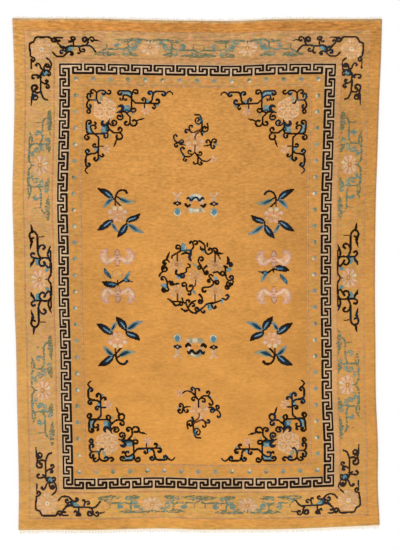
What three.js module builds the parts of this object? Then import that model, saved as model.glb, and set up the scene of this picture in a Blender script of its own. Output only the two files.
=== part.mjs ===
import * as THREE from 'three';

// A hand-knotted wool carpet that lies flat on the floor, with the cotton warps' ends as a fringe
// at both ends. Millimetres: +X across the carpet, +Y along it towards the top end, +Z up.
// The origin is on the floor under the middle.

const CARPET_LENGTH = 3700;
const CARPET_WIDTH = 2630;
const CARPET_THICKNESS = 10;

const EDGE_HEIGHT = 6;
const EDGE_ROUNDING = 9;
const EDGE_STEPS = [0, 1.5, 4, 9];
const PILE_RIPPLE = 0.5;
const RIPPLE_LENGTH = 640;
const COLUMNS = 26;
const ROWS = 38;

// Where each long edge lies, read along the carpet from the bottom end to the top end.
const LONG_EDGES = [
  { at: -1850, left: -1300, right: 1328 },
  { at: -1565, left: -1297, right: 1314 },
  { at: -1274, left: -1302, right: 1315 },
  { at: -910, left: -1311, right: 1300 },
  { at: -546, left: -1317, right: 1297 },
  { at: -182, left: -1330, right: 1294 },
  { at: 182, left: -1334, right: 1295 },
  { at: 546, left: -1344, right: 1300 },
  { at: 910, left: -1336, right: 1313 },
  { at: 1274, left: -1329, right: 1324 },
  { at: 1565, left: -1334, right: 1337 },
  { at: 1850, left: -1345, right: 1345 },
];

// Where the pile stops at each end, read across the carpet from left to right.
const END_EDGES = [
  { at: -1345, bottom: -1854, top: 1866 },
  { at: -1030, bottom: -1851, top: 1864 },
  { at: -765, bottom: -1853, top: 1863 },
  { at: -500, bottom: -1846, top: 1857 },
  { at: -250, bottom: -1841, top: 1851 },
  { at: 20, bottom: -1850, top: 1848 },
  { at: 280, bottom: -1848, top: 1846 },
  { at: 545, bottom: -1848, top: 1858 },
  { at: 810, bottom: -1840, top: 1861 },
  { at: 1080, bottom: -1828, top: 1860 },
  { at: 1345, bottom: -1816, top: 1861 },
];

// The two fringes: a narrow woven cotton web next to the pile, then the warps' cut ends.
const FRINGE_GAP = 0.3;
const FRINGE_INSET = 4;
const WEB_THICKNESS = 2.4;
const LOCKS = 120;
const LOCK_ROOT_SHARE = 0.5;
const LOCK_STAGES = [
  { along: 0, width: 1, height: 0.85 },
  { along: 0.5, width: 0.8, height: 0.75 },
  { along: 1, width: 0.35, height: 0.5 },
];
const LOCK_LEAN = 4;
const FRINGES = [
  { name: 'fringe_bottom', end: 'bottom', outward: -1, web: 14, lock: 14, uneven: 0.3 },
  { name: 'fringe_top', end: 'top', outward: 1, web: 6, lock: 11, uneven: 0.5 },
];

const wool = new THREE.MeshStandardMaterial({ color: 0xd6973f, roughness: 0.95, metalness: 0 });
const cotton = new THREE.MeshStandardMaterial({ color: 0xe9dfc8, roughness: 0.95, metalness: 0 });

// A smooth line through one column of an edge table.
function edgeLine(table, column) {
  const places = table.map((row) => row.at);
  const offsets = table.map((row) => row[column]);
  const line = new THREE.CubicInterpolant(places, offsets, 1);
  return (at) => line.evaluate(at)[0];
}

// A number from -1 to 1 that looks random and is the same for the same seed.
function scatter(seed) {
  const wave = Math.sin(seed * 12.9898 + 4.1) * 43758.5453;
  return 2 * (wave - Math.floor(wave)) - 1;
}

// Places from 0 to size: close together at both ends for the rounded edge, even between them.
function gridPlaces(size, count) {
  const inner = EDGE_STEPS.at(-1);
  const even = Array.from({ length: count - 1 }, (_, i) => inner + ((size - 2 * inner) * (i + 1)) / count);
  const far = EDGE_STEPS.map((step) => size - step).reverse();
  return [...EDGE_STEPS, ...even, ...far];
}

// The pile's height above the floor: a quarter ellipse over the rim, and a slight swell inside.
function pileHeight(x, y, fromEdge) {
  const reach = 1 - Math.min(fromEdge / EDGE_ROUNDING, 1);
  const rim = EDGE_HEIGHT + (CARPET_THICKNESS - EDGE_HEIGHT) * Math.sqrt(1 - reach * reach);
  const turn = (2 * Math.PI) / RIPPLE_LENGTH;
  const swell = Math.sin(turn * x + 1) * Math.sin(turn * 0.8 * y + 2) - 1;
  return rim + 0.5 * PILE_RIPPLE * swell * (1 - reach);
}

const leftEdge = edgeLine(LONG_EDGES, 'left');
const rightEdge = edgeLine(LONG_EDGES, 'right');
const endEdges = { bottom: edgeLine(END_EDGES, 'bottom'), top: edgeLine(END_EDGES, 'top') };

// A place on the carpet as it was woven, moved to where it lies between the four uneven edges.
function asItLies(across, along) {
  const level = along - CARPET_LENGTH / 2;
  const x = THREE.MathUtils.lerp(leftEdge(level), rightEdge(level), across / CARPET_WIDTH);
  const y = THREE.MathUtils.lerp(endEdges.bottom(x), endEdges.top(x), along / CARPET_LENGTH);
  return { x, y };
}

function meshFrom(name, points, faces, material) {
  const geometry = new THREE.BufferGeometry();
  geometry.setAttribute('position', new THREE.Float32BufferAttribute(points.flat(), 3));
  geometry.setIndex(faces.flat());
  geometry.computeVertexNormals();
  const mesh = new THREE.Mesh(geometry, material);
  mesh.name = name;
  return mesh;
}

// Two triangles for the quad a, b, c, d, which runs counter-clockwise as seen from outside.
function quad(a, b, c, d) {
  return [[a, b, c], [a, c, d]];
}

// The carpet: a grid of points for the pile's surface, a flat underside, and a low wall round it.
function makeCarpet() {
  const acrossPlaces = gridPlaces(CARPET_WIDTH, COLUMNS);
  const alongPlaces = gridPlaces(CARPET_LENGTH, ROWS);
  const points = [];
  const faces = [];
  for (const along of alongPlaces) {
    for (const across of acrossPlaces) {
      const { x, y } = asItLies(across, along);
      const fromEdge = Math.min(across, CARPET_WIDTH - across, along, CARPET_LENGTH - along);
      points.push([x, y, pileHeight(x, y, fromEdge)]);
    }
  }
  const wide = acrossPlaces.length;
  const high = alongPlaces.length;
  const at = (column, row) => row * wide + column;
  for (let row = 0; row < high - 1; row += 1) {
    for (let column = 0; column < wide - 1; column += 1) {
      faces.push(...quad(at(column, row), at(column + 1, row), at(column + 1, row + 1), at(column, row + 1)));
    }
  }

  const rim = [];
  for (let column = 0; column < wide - 1; column += 1) rim.push(at(column, 0));
  for (let row = 0; row < high - 1; row += 1) rim.push(at(wide - 1, row));
  for (let column = wide - 1; column > 0; column -= 1) rim.push(at(column, high - 1));
  for (let row = high - 1; row > 0; row -= 1) rim.push(at(0, row));
  const first = points.length;
  rim.forEach((index) => points.push([points[index][0], points[index][1], 0]));
  rim.forEach((index, i) => {
    const next = (i + 1) % rim.length;
    faces.push(...quad(first + i, first + next, rim[next], index));
  });
  const outline = rim.map((index) => new THREE.Vector2(points[index][0], points[index][1]));
  const underside = THREE.ShapeUtils.triangulateShape(outline, []);
  underside.forEach(([a, b, c]) => faces.push([first + a, first + c, first + b]));
  return meshFrom('carpet', points, faces, wool);
}

// One fringe: a flat web that follows the pile's end, with locks that grow out of its outer side.
// Its stations run from left to right, two for each lock's root and one at each end of the web.
function makeFringe({ name, end, outward, web, lock, uneven }) {
  const endRow = end === 'top' ? CARPET_LENGTH : 0;
  const corners = gridPlaces(CARPET_WIDTH, COLUMNS).map((across) => asItLies(across, endRow));
  const pileEnd = new THREE.LinearInterpolant(corners.map((p) => p.x), corners.map((p) => p.y), 1);
  const start = corners[0].x + FRINGE_INSET;
  const pitch = (corners.at(-1).x - FRINGE_INSET - start) / LOCKS;
  const root = pitch * LOCK_ROOT_SHARE;
  const webTop = WEB_THICKNESS * LOCK_STAGES[0].height;

  const points = [];
  const faces = [];
  const side = (a, b, c, d) => faces.push(...(outward < 0 ? quad(a, b, c, d) : quad(d, c, b, a)));
  const station = (x) => {
    const inner = pileEnd.evaluate(x)[0] + outward * FRINGE_GAP;
    const outer = inner + outward * web;
    points.push([x, inner, 0], [x, outer, 0], [x, outer, webTop], [x, inner, WEB_THICKNESS]);
    return points.length - 4;
  };
  const webSpan = (a, b) => {
    side(a, b, b + 1, a + 1);
    side(a + 2, b + 2, b + 3, a + 3);
    side(a + 3, b + 3, b, a);
  };
  const growLock = (a, b, x, seed) => {
    const tip = lock * (1 + uneven * scatter(seed));
    const lean = LOCK_LEAN * scatter(seed + 0.5);
    const outer = points[a + 1][1];
    let ring = [a + 1, b + 1, b + 2, a + 2];
    for (const { along, width, height } of LOCK_STAGES.slice(1)) {
      const middle = x + root / 2 + lean * along * along;
      const y = outer + outward * tip * along;
      const z = WEB_THICKNESS * height;
      const half = (root * width) / 2;
      points.push([middle - half, y, 0], [middle + half, y, 0], [middle + half, y, z], [middle - half, y, z]);
      const next = [4, 3, 2, 1].map((back) => points.length - back);
      for (let i = 0; i < 4; i += 1) {
        const j = (i + 1) % 4;
        side(ring[i], ring[j], next[j], next[i]);
      }
      ring = next;
    }
    side(...ring);
  };

  let last = station(start);
  side(last + 3, last, last + 1, last + 2);
  for (let i = 0; i < LOCKS; i += 1) {
    const x = start + pitch * i + (pitch - root) / 2;
    const a = station(x);
    const b = station(x + root);
    webSpan(last, a);
    side(last + 1, a + 1, a + 2, last + 2);
    webSpan(a, b);
    growLock(a, b, x, i + 200 * outward);
    last = b;
  }
  const finish = station(start + pitch * LOCKS);
  webSpan(last, finish);
  side(last + 1, finish + 1, finish + 2, last + 2);
  side(finish, finish + 3, finish + 2, finish + 1);
  return meshFrom(name, points, faces, cotton);
}

const rug = new THREE.Group();
rug.add(makeCarpet());
FRINGES.forEach((fringe) => rug.add(makeFringe(fringe)));

export default rug;
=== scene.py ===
"""A hand-knotted wool carpet in the Chinese taste, lying flat: gold pile, a fret, scrolling vines
and small emblems, each knotted in its own yarn, and short cotton fringes. Metres, +Y to the top end."""

import bpy
import numpy as np
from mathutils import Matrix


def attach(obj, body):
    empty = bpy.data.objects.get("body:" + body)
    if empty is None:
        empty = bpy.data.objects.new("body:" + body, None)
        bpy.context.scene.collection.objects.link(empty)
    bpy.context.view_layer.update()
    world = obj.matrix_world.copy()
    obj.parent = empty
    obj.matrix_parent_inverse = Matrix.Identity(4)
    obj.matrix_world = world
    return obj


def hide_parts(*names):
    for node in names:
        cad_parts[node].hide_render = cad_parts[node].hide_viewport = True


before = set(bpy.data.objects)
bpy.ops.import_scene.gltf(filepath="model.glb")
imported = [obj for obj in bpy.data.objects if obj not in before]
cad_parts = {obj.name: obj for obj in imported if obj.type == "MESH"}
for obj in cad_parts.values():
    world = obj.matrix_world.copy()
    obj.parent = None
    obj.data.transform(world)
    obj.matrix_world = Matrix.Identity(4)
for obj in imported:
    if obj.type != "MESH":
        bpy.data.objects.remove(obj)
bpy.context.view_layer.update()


# The ground is the carpet's own body: gold wool pile knotted row by row on cotton warps and shorn
# level. It was woven as a plain rectangle, and it lies with slightly uneven edges, so every place
# on it is worked out on the rectangle first and then moved to where it lies.
CARPET_LENGTH = 3.7
CARPET_WIDTH = 2.63
CARPET_THICKNESS = 0.010
EDGE_HEIGHT = 0.006
EDGE_ROUNDING = 0.009
EDGE_STEPS = (0.0, 0.0015, 0.004, 0.009)
PILE_RIPPLE = 0.0005
RIPPLE_LENGTH = 0.64
RIPPLE_PACE_ALONG = 0.8
RIPPLE_STARTS = (1, 2)
GROUND_COLUMNS = 148
GROUND_ROWS = 210

# The long edges, read along the carpet: the place along it, the left edge and the right edge.
LONG_EDGES = np.array([
    (-1.850, -1.300, 1.328), (-1.565, -1.297, 1.314), (-1.274, -1.302, 1.315), (-0.910, -1.311, 1.300),
    (-0.546, -1.317, 1.297), (-0.182, -1.330, 1.294), (0.182, -1.334, 1.295), (0.546, -1.344, 1.300),
    (0.910, -1.336, 1.313), (1.274, -1.329, 1.324), (1.565, -1.334, 1.337), (1.850, -1.345, 1.345),
])
# The two ends of the pile, read from left to right: the place across, the bottom end and the top end.
END_EDGES = np.array([
    (-1.345, -1.854, 1.866), (-1.030, -1.851, 1.864), (-0.765, -1.853, 1.863), (-0.500, -1.846, 1.857),
    (-0.250, -1.841, 1.851), (0.020, -1.850, 1.848), (0.280, -1.848, 1.846), (0.545, -1.848, 1.858),
    (0.810, -1.840, 1.861), (1.080, -1.828, 1.860), (1.345, -1.816, 1.861),
])


def edge_line(table, column, at):
    """A smooth line through one column of an edge table: between two rows it is the cubic that
    passes both, with the slope that each row has between its neighbours."""
    places, offsets = table[:, 0], table[:, column]
    slopes = np.empty_like(offsets)
    slopes[1:-1] = (offsets[2:] - offsets[:-2]) / (places[2:] - places[:-2])
    slopes[[0, -1]] = np.diff(offsets)[[0, -1]] / np.diff(places)[[0, -1]]
    at = np.clip(at, places[0], places[-1])
    row = np.clip(np.searchsorted(places, at, side="right") - 1, 0, len(places) - 2)
    step = places[row + 1] - places[row]
    t = (at - places[row]) / step
    start = (2 * t**3 - 3 * t**2 + 1) * offsets[row] + (t**3 - 2 * t**2 + t) * step * slopes[row]
    end = (3 * t**2 - 2 * t**3) * offsets[row + 1] + (t**3 - t**2) * step * slopes[row + 1]
    return start + end


def as_it_lies(across, along):
    """A place on the woven rectangle, from its middle, moved to where it lies: its share of the
    width between the long edges, then its share of the length between the two ends."""
    left, right = edge_line(LONG_EDGES, 1, along), edge_line(LONG_EDGES, 2, along)
    x = left + (right - left) * (across / CARPET_WIDTH + 0.5)
    bottom, top = edge_line(END_EDGES, 1, x), edge_line(END_EDGES, 2, x)
    return x, bottom + (top - bottom) * (along / CARPET_LENGTH + 0.5)


def pile_height(x, y, across, along):
    """A quarter ellipse over the rim, and a slight swell of crossed sine waves inside it."""
    inside = np.minimum(CARPET_WIDTH / 2 - abs(across), CARPET_LENGTH / 2 - abs(along))
    reach = 1 - np.clip(inside / EDGE_ROUNDING, 0, 1)
    rim = EDGE_HEIGHT + (CARPET_THICKNESS - EDGE_HEIGHT) * np.sqrt(1 - reach**2)
    turn = 2 * np.pi / RIPPLE_LENGTH
    start_across, start_along = RIPPLE_STARTS
    swell = np.sin(turn * x + start_across) * np.sin(turn * RIPPLE_PACE_ALONG * y + start_along) - 1
    return rim + 0.5 * PILE_RIPPLE * swell * (1 - reach)


BAKE_MARGIN = 0.01


def quad_piece(name, points, quads, weave, body="root"):
    """A piece of four-sided faces: each row of quads is four point numbers, counter-clockwise from
    outside, and weave is each point's place across and along the woven rectangle, kept as a UV map
    in metres and as one that fits it into a square."""
    mesh = bpy.data.meshes.new(name)
    mesh.vertices.add(len(points))
    mesh.vertices.foreach_set("co", np.asarray(points, np.float32).ravel())
    mesh.loops.add(quads.size)
    mesh.loops.foreach_set("vertex_index", quads.astype(np.int32).ravel())
    mesh.polygons.add(len(quads))
    mesh.polygons.foreach_set("loop_start", np.arange(0, quads.size, 4, dtype=np.int32))
    mesh.update(calc_edges=True)
    spread = (weave - weave.min(0)) / np.ptp(weave, axis=0).max()
    fitted = BAKE_MARGIN + (1 - 2 * BAKE_MARGIN) * spread
    for map_name, places in [("weave", weave), ("OFBake", fitted)]:
        layer = mesh.uv_layers.new(name=map_name)
        layer.data.foreach_set("uv", places[quads.ravel()].astype(np.float32).ravel())
    piece = bpy.data.objects.new(name, mesh)
    bpy.context.collection.objects.link(piece)
    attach(piece, body)
    return piece


def edge_places(size, count, lines=()):
    """Places from one edge to the other: close together over both rounded rims and even between,
    with the nearest ones moved onto the given lines."""
    rim = np.array(EDGE_STEPS)
    even = np.linspace(rim[-1], size - rim[-1], count + 1)[1:-1]
    for line in lines:
        even[abs(even - size / 2 - line).argmin()] = line + size / 2
    return np.concatenate([rim, even, size - rim[::-1]]) - size / 2


def dye(red, green, blue):
    """The linear colour of a yarn that the eye sees as these three numbers of 255."""
    seen = np.array([red, green, blue]) / 255
    return np.where(seen <= 0.04045, seen / 12.92, ((seen + 0.055) / 1.055) ** 2.4)


def colour_faces(piece, colours, mottled):
    """Keeps one linear colour for each face in the attribute that the wool reads, and in its fourth
    number how far the hue drifts there."""
    layer = piece.data.color_attributes.new("yarn", "FLOAT_COLOR", "CORNER")
    mottled = np.broadcast_to(mottled, len(colours))[:, None]
    four = np.repeat(np.hstack([colours, mottled]), 4, axis=0)
    layer.data.foreach_set("color", four.astype(np.float32).ravel())


# The tones of the gold, in bands from the edge inwards. A band starts at its left, right, bottom and
# top line, given in squares of the weaver's cartoon from the carpet's middle. Then come its tones on
# the left, right, bottom and top side, as the eye sees them, and how far the hue drifts in it.
SQUARE = CARPET_LENGTH / 508
BANDS = [
    # The first band is the strip over the rounded rim: the gold there, with painted shade of the rim that makes
    # its right side darker and greyer.
    (-182, 182, -256, 256, (204, 160, 108), (192, 142, 84), (206, 154, 80), (206, 160, 104), 0.5),
    (-178.6, 178.8, -252, 251.6, (210, 156, 85), (213, 151, 77), (218, 154, 76), (205, 138, 68), 0.45),
    (-169.7, 169.2, -243.4, 241.9, (205, 155, 96), (208, 151, 82), (213, 159, 88), (201, 152, 98), 1.0),
    (-141.1, 142.2, -217.4, 214.8, (205, 158, 102), (211, 159, 102), (213, 165, 108), (198, 149, 99), 0.5),
    (-136.6, 137.2, -214.0, 210.2, (210, 180, 145), (211, 178, 141), (212, 178, 139), (213, 182, 147), 0.3),
    (-125.2, 125.8, -202.6, 198.8, (203, 145, 76), (210, 150, 79), (211, 150, 76), (206, 150, 85), 0.8),
    (-113.1, 113.1, -190.4, 188.3, (218, 153, 77), (218, 153, 77), (218, 153, 77), (218, 153, 77), 0.12),
]
# How far a side's tone runs on into the next at a corner, and how the red, green and blue drift
# from the middle to the edges, in shares to the square.
MITRE = 16.0
BORDER_ACROSS = -1.2e-6
FIELD_ALONG = np.array([-0.00027, -0.00020, 0.00020])
FIELD_ACROSS = -0.0004
FIELD_EDGES = -0.0000109
band_lines = np.array([band[:4] for band in BANDS[1:]]) * SQUARE
across, along = np.meshgrid(edge_places(CARPET_WIDTH, GROUND_COLUMNS, band_lines[:, :2].ravel()),
                            edge_places(CARPET_LENGTH, GROUND_ROWS, band_lines[:, 2:].ravel()))
x, y = as_it_lies(across, along)
z = pile_height(x, y, across, along)
wide, high = across.shape[1], across.shape[0]
number = np.arange(wide * high).reshape(high, wide)
cells = np.stack([number[:-1, :-1], number[:-1, 1:], number[1:, 1:], number[1:, :-1]], -1).reshape(-1, 4)
rim = np.concatenate([number[0, :-1], number[:-1, -1], number[-1, :0:-1], number[:0:-1, 0]])
under = wide * high
walls = np.stack([under + rim, under + np.roll(rim, -1), np.roll(rim, -1), rim], 1)
points = np.stack([np.tile(x.ravel(), 2), np.tile(y.ravel(), 2), np.append(z.ravel(), 0 * z.ravel())], 1)
weave = np.tile(np.stack([across.ravel(), along.ravel()], 1), (2, 1))
quads = np.concatenate([cells, cells[:, ::-1] + under, walls])
ground = quad_piece("pile_ground", points, quads, weave)
ground.data.polygons.foreach_set("use_smooth", np.ones(len(quads), bool))

right_of, above = (weave[quads].mean(1) / SQUARE).T
drift = 1 + FIELD_ALONG * above[:, None] + (FIELD_ACROSS * right_of + FIELD_EDGES * right_of**2)[:, None]
ground_colours = np.empty((len(quads), 3))
mottled = np.empty(len(quads))
for left, right, bottom, top, *tones, mottle in BANDS:
    depth = np.stack([right_of - left, right - right_of, above - bottom, top - above], 1)
    inside = depth.min(1) > 0
    nearness = np.exp((depth.min(1, keepdims=True) - depth) / MITRE)
    blended = nearness @ np.array([dye(*tone) for tone in tones]) / nearness.sum(1, keepdims=True)
    ground_colours[inside] = blended[inside]
    mottled[inside] = mottle
ground_colours[inside] *= drift[inside]
ground_colours[~inside] *= 1 + BORDER_ACROSS * (right_of * (above + CARPET_LENGTH / 2 / SQUARE))[~inside, None]
colour_faces(ground, ground_colours, mottled)

# The wool: every knot stands up as a small tuft and took the dye a little differently, the dye lots
# run in streaks across the carpet, and larger patches have faded.
KNOTS_TO_SQUARE = 5 / 3
KNOT = SQUARE / KNOTS_TO_SQUARE
KNOT_TONES = 0.12
FIBRES_TO_KNOT = 4.0
FIBRE_HEIGHT = 0.6
TUFT_UNEVENNESS = 0.3
TUFT_BUMP = {"Strength": 0.5, "Distance": 0.001}
WOOL_ROUGHNESS = 0.95
WOOL_SHINE = 0.1
# The streaks: how much they are drawn out across the carpet (1 is round), and how fine they are.
STREAKS = [(0.2, 60), (0.45, 66), (0.5, 17), (0.7, 3.2)]
HUE_STREAKS = (0.8, 36)
HUE_REACH = (0.65, 0.4, 1.2)
# How deep they are. The first are worn deeper towards both ends, and most at the top one, and the
# second deepen towards the top, each between two places along the carpet. The last two are even.
WORN_ENDS = (1.35, 1.8, 0.2, 0.75)
WORN_TOP = (1.4, 1.8, 0.0, 0.45)
GRAIN = (-0.8, 1.3, 0.42, 0.9)
LOT_DEPTH = 0.32
FADED_DEPTH = 0.45


def new_group(name, inputs, outputs):
    """An empty shader group with these inputs and outputs, and its two end nodes."""
    group = bpy.data.node_groups.new(name, "ShaderNodeTree")
    for label, kind in inputs:
        group.interface.new_socket(label, in_out="INPUT", socket_type=kind)
    for label, kind in outputs:
        group.interface.new_socket(label, in_out="OUTPUT", socket_type=kind)
    return group, group.nodes.new("NodeGroupInput"), group.nodes.new("NodeGroupOutput")


def lay(tree, kind, inputs, **settings):
    """A node with these settings, whose inputs are numbers to set or outputs to link."""
    node = tree.nodes.new(kind)
    for name, value in settings.items():
        setattr(node, name, value)
    for key, value in inputs.items():
        if isinstance(value, bpy.types.NodeSocket):
            tree.links.new(value, node.inputs[key])
        else:
            node.inputs[key].default_value = value
    return node.outputs


def math(tree, operation, *values):
    """One sum on numbers or outputs."""
    return lay(tree, "ShaderNodeMath", dict(enumerate(values)), operation=operation)["Value"]


def vector(tree, operation, first, second):
    """One sum on vectors or colours. What a vector is scaled by is a number."""
    inputs = {0: first, 3 if operation == "SCALE" else 1: second}
    return lay(tree, "ShaderNodeVectorMath", inputs, operation=operation)["Vector"]


tufts, tufts_in, tufts_out = new_group(
    "knot_tufts", [("Knot Size", "NodeSocketFloat"), ("Spread", "NodeSocketFloat")],
    [("Tone", "NodeSocketFloat"), ("Height", "NodeSocketFloat")])
place = lay(tufts, "ShaderNodeUVMap", {}, uv_map="weave")["UV"]
counted = vector(tufts, "SCALE", place, math(tufts, "DIVIDE", 1.0, tufts_in.outputs["Knot Size"]))
whole = lay(tufts, "ShaderNodeVectorMath", {0: counted}, operation="FLOOR")["Vector"]
chance = lay(tufts, "ShaderNodeTexWhiteNoise", {"Vector": whole}, noise_dimensions="2D")["Value"]
tone = math(tufts, "MULTIPLY_ADD", math(tufts, "SUBTRACT", chance, 0.5), tufts_in.outputs["Spread"], 1.0)
split = lay(tufts, "ShaderNodeSeparateXYZ", {"Vector": counted})
ridge_x = math(tufts, "ABSOLUTE", math(tufts, "SINE", math(tufts, "MULTIPLY", split["X"], np.pi)))
ridge_y = math(tufts, "ABSOLUTE", math(tufts, "SINE", math(tufts, "MULTIPLY", split["Y"], np.pi)))
round_top = math(tufts, "SQRT", math(tufts, "MULTIPLY", ridge_x, ridge_y))
fibre = lay(tufts, "ShaderNodeTexNoise", {"Vector": counted, "Scale": FIBRES_TO_KNOT, "Detail": 2.0})["Fac"]
uneven_top = math(tufts, "MULTIPLY_ADD", chance, TUFT_UNEVENNESS, round_top)
tufts.links.new(tone, tufts_out.inputs["Tone"])
tufts.links.new(math(tufts, "MULTIPLY_ADD", fibre, FIBRE_HEIGHT, uneven_top), tufts_out.inputs["Height"])

abrash, abrash_in, abrash_out = new_group(
    "abrash", [("Yarn", "NodeSocketColor"), ("Mottled", "NodeSocketFloat")], [("Color", "NodeSocketColor")])
place = lay(abrash, "ShaderNodeUVMap", {}, uv_map="weave")["UV"]


def drifting(stretch, scale):
    """Smooth noise on the woven rectangle, stretched across it."""
    stretched = vector(abrash, "MULTIPLY", place, (stretch, 1, 1))
    return lay(abrash, "ShaderNodeTexNoise", {"Vector": stretched, "Scale": scale, "Detail": 2.0})


def about_nought(noise, amount):
    """Noise from nought to one made to run about nought, by so much."""
    return math(abrash, "MULTIPLY", math(abrash, "SUBTRACT", noise["Fac"], 0.5), amount)


def ramp(value, low, high, least, most):
    """Least up to where the value is low, most from where it is high, and even between."""
    limits = {"Value": value, 1: low, 2: high, 3: least, 4: most}
    return lay(abrash, "ShaderNodeMapRange", limits)["Result"]


along_place = lay(abrash, "ShaderNodeSeparateXYZ", {"Vector": place})["Y"]
worn_ends = ramp(math(abrash, "ABSOLUTE", along_place), *WORN_ENDS)
worn_deep = math(abrash, "ADD", worn_ends, ramp(along_place, *WORN_TOP))
shade = 1.0
for streak, depth in zip(STREAKS, [worn_deep, ramp(along_place, *GRAIN), LOT_DEPTH, FADED_DEPTH]):
    shade = math(abrash, "ADD", shade, about_nought(drifting(*streak), depth))
centred = vector(abrash, "ADD", drifting(*HUE_STREAKS)["Color"], (-0.5, -0.5, -0.5))
hue = vector(abrash, "SCALE", vector(abrash, "MULTIPLY", centred, HUE_REACH), abrash_in.outputs["Mottled"])
tinted = vector(abrash, "MULTIPLY", abrash_in.outputs["Yarn"], vector(abrash, "ADD", hue, (1, 1, 1)))
abrash.links.new(vector(abrash, "SCALE", tinted, shade), abrash_out.inputs["Color"])

wool = bpy.data.materials.new("knotted_wool")
wool.use_nodes = True
tree = wool.node_tree
shader = tree.nodes["Principled BSDF"]
yarn = lay(tree, "ShaderNodeVertexColor", {}, layer_name="yarn")
worn = lay(tree, "ShaderNodeGroup", {"Yarn": yarn["Color"], "Mottled": yarn["Alpha"]}, node_tree=abrash)
knots = lay(tree, "ShaderNodeGroup", {"Knot Size": KNOT, "Spread": KNOT_TONES}, node_tree=tufts)
normal = lay(tree, "ShaderNodeBump", {"Height": knots["Height"], **TUFT_BUMP})["Normal"]
tree.links.new(vector(tree, "SCALE", worn["Color"], knots["Tone"]), shader.inputs["Base Color"])
tree.links.new(normal, shader.inputs["Normal"])
shader.inputs["Roughness"].default_value = WOOL_ROUGHNESS
shader.inputs["Specular IOR Level"].default_value = WOOL_SHINE
ground.data.materials.append(wool)
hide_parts("carpet")


# The guard stripes are three narrow lilac frames that part the plain edge, the border of vines, the
# fret and the field. They are knotted in one go with the ground and stand a little proud of it.
FIGURE_RIM = 0.0003
FIGURE_CROWN = 0.0009
FIGURE_DEPTH = 0.004
GUARD_STEPS = 205
GUARD_SEED = 7
GUARD_FLECK = 0.07
GUARD_MOTTLE = 0.5
# A stripe's cross-section: its outer foot, outer rim, crown, inner rim and inner foot.
STRIPE_PROFILE = [(1, -FIGURE_DEPTH), (1, FIGURE_RIM), (0, FIGURE_CROWN), (-1, FIGURE_RIM), (-1, -FIGURE_DEPTH)]
# Each stripe by its middle line and its width, in squares from the carpet's middle, and its yarn.
GUARD_STRIPES = [
    ("guard_outer", -169.7, 169.2, -243.4, 241.9, 1.4, dye(199, 147, 99)),
    ("guard_middle", -141.1, 142.2, -217.4, 214.8, 1.6, dye(202, 145, 91)),
    ("guard_inner", -113.1, 113.1, -190.4, 188.3, 1.8, dye(200, 149, 97)),
]
guard_shades = np.random.default_rng(GUARD_SEED)
for name, left, right, bottom, top, width, tone in GUARD_STRIPES:
    corners = np.array([(left, bottom), (right, bottom), (right, top), (left, top)]) * SQUARE
    outward = np.array([(-1, -1), (1, -1), (1, 1), (-1, 1)]) * SQUARE * width / 2
    share = np.arange(GUARD_STEPS)[:, None] / GUARD_STEPS
    loops = []
    for offset, rise in STRIPE_PROFILE:
        loop = corners + offset * outward
        line = (loop[:, None] * (1 - share) + np.roll(loop, -1, axis=0)[:, None] * share).reshape(-1, 2)
        x, y = as_it_lies(*line.T)
        loops.append(np.column_stack([x, y, pile_height(x, y, *line.T) + rise, line]))
    points = np.stack(loops, 1)
    number = np.arange(points[..., 0].size).reshape(points.shape[:2])
    ahead, beside = np.roll(number, -1, axis=0), np.roll(number, -1, axis=1)
    quads = np.stack([number, ahead, np.roll(ahead, -1, axis=1), beside], -1).reshape(-1, 4)
    points = points.reshape(-1, 5)
    stripe = quad_piece(name, points[:, :3], quads, points[:, 3:])
    colour_faces(stripe, tone * guard_shades.normal(1, GUARD_FLECK, (len(quads), 1)), GUARD_MOTTLE)
    stripe.data.materials.append(wool)


# The fret is the key border between two guards: one dark line that turns back on itself between an
# outer and an inner row of bars. Like every figure of this carpet it is knotted from a squared
# cartoon, so it is drawn first on a chart of all the knots: a stroke takes in the knots it meets.
ROWS = round(CARPET_LENGTH / KNOT)
COLUMNS = round(CARPET_WIDTH / KNOT)
FLECK_SEED = 11
FLECK = 0.05
FIGURE_MOTTLE = 0.3
YARNS = {
    "bare": dye(0, 0, 0), "umber": dye(37, 20, 5), "soot": dye(34, 20, 7), "dusk": dye(50, 38, 35),
    "ink": dye(26, 34, 46), "indigo": dye(33, 37, 54), "navy": dye(26, 44, 60), "steel": dye(92, 130, 152),
    "sky": dye(124, 154, 164), "mist": dye(126, 138, 134), "teal": dye(98, 138, 138),
    "faded_teal": dye(114, 138, 124), "deep_teal": dye(44, 82, 92), "glass": dye(72, 108, 120),
    "slate": dye(110, 120, 94), "sage": dye(150, 150, 120), "olive": dye(124, 118, 80),
    "frost": dye(188, 190, 170), "pearl": dye(214, 196, 160), "cream": dye(226, 188, 144),
    "shell": dye(216, 176, 142), "blush": dye(216, 168, 118), "honey": dye(208, 158, 102),
    "rose": dye(218, 156, 108), "pink": dye(216, 173, 148), "lilac": dye(202, 153, 128),
    "mauve": dye(196, 148, 110), "haze": dye(190, 156, 122), "plum": dye(172, 122, 94),
    "tan": dye(190, 134, 84), "straw": dye(204, 158, 108), "gold": dye(211, 155, 84),
    "amber": dye(216, 138, 66), "clay": dye(184, 122, 68), "rust": dye(96, 54, 30),
}
YARN_NAMES = list(YARNS)
knot_u = (np.arange(COLUMNS) + 0.5 - COLUMNS / 2) / KNOTS_TO_SQUARE
knot_v = (np.arange(ROWS) + 0.5 - ROWS / 2) / KNOTS_TO_SQUARE
chart = np.zeros((ROWS, COLUMNS), np.uint8)
tied = np.zeros((ROWS, COLUMNS), bool)
flecks = np.random.default_rng(FLECK_SEED).normal(1, FLECK, (ROWS, COLUMNS, 1))


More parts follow.
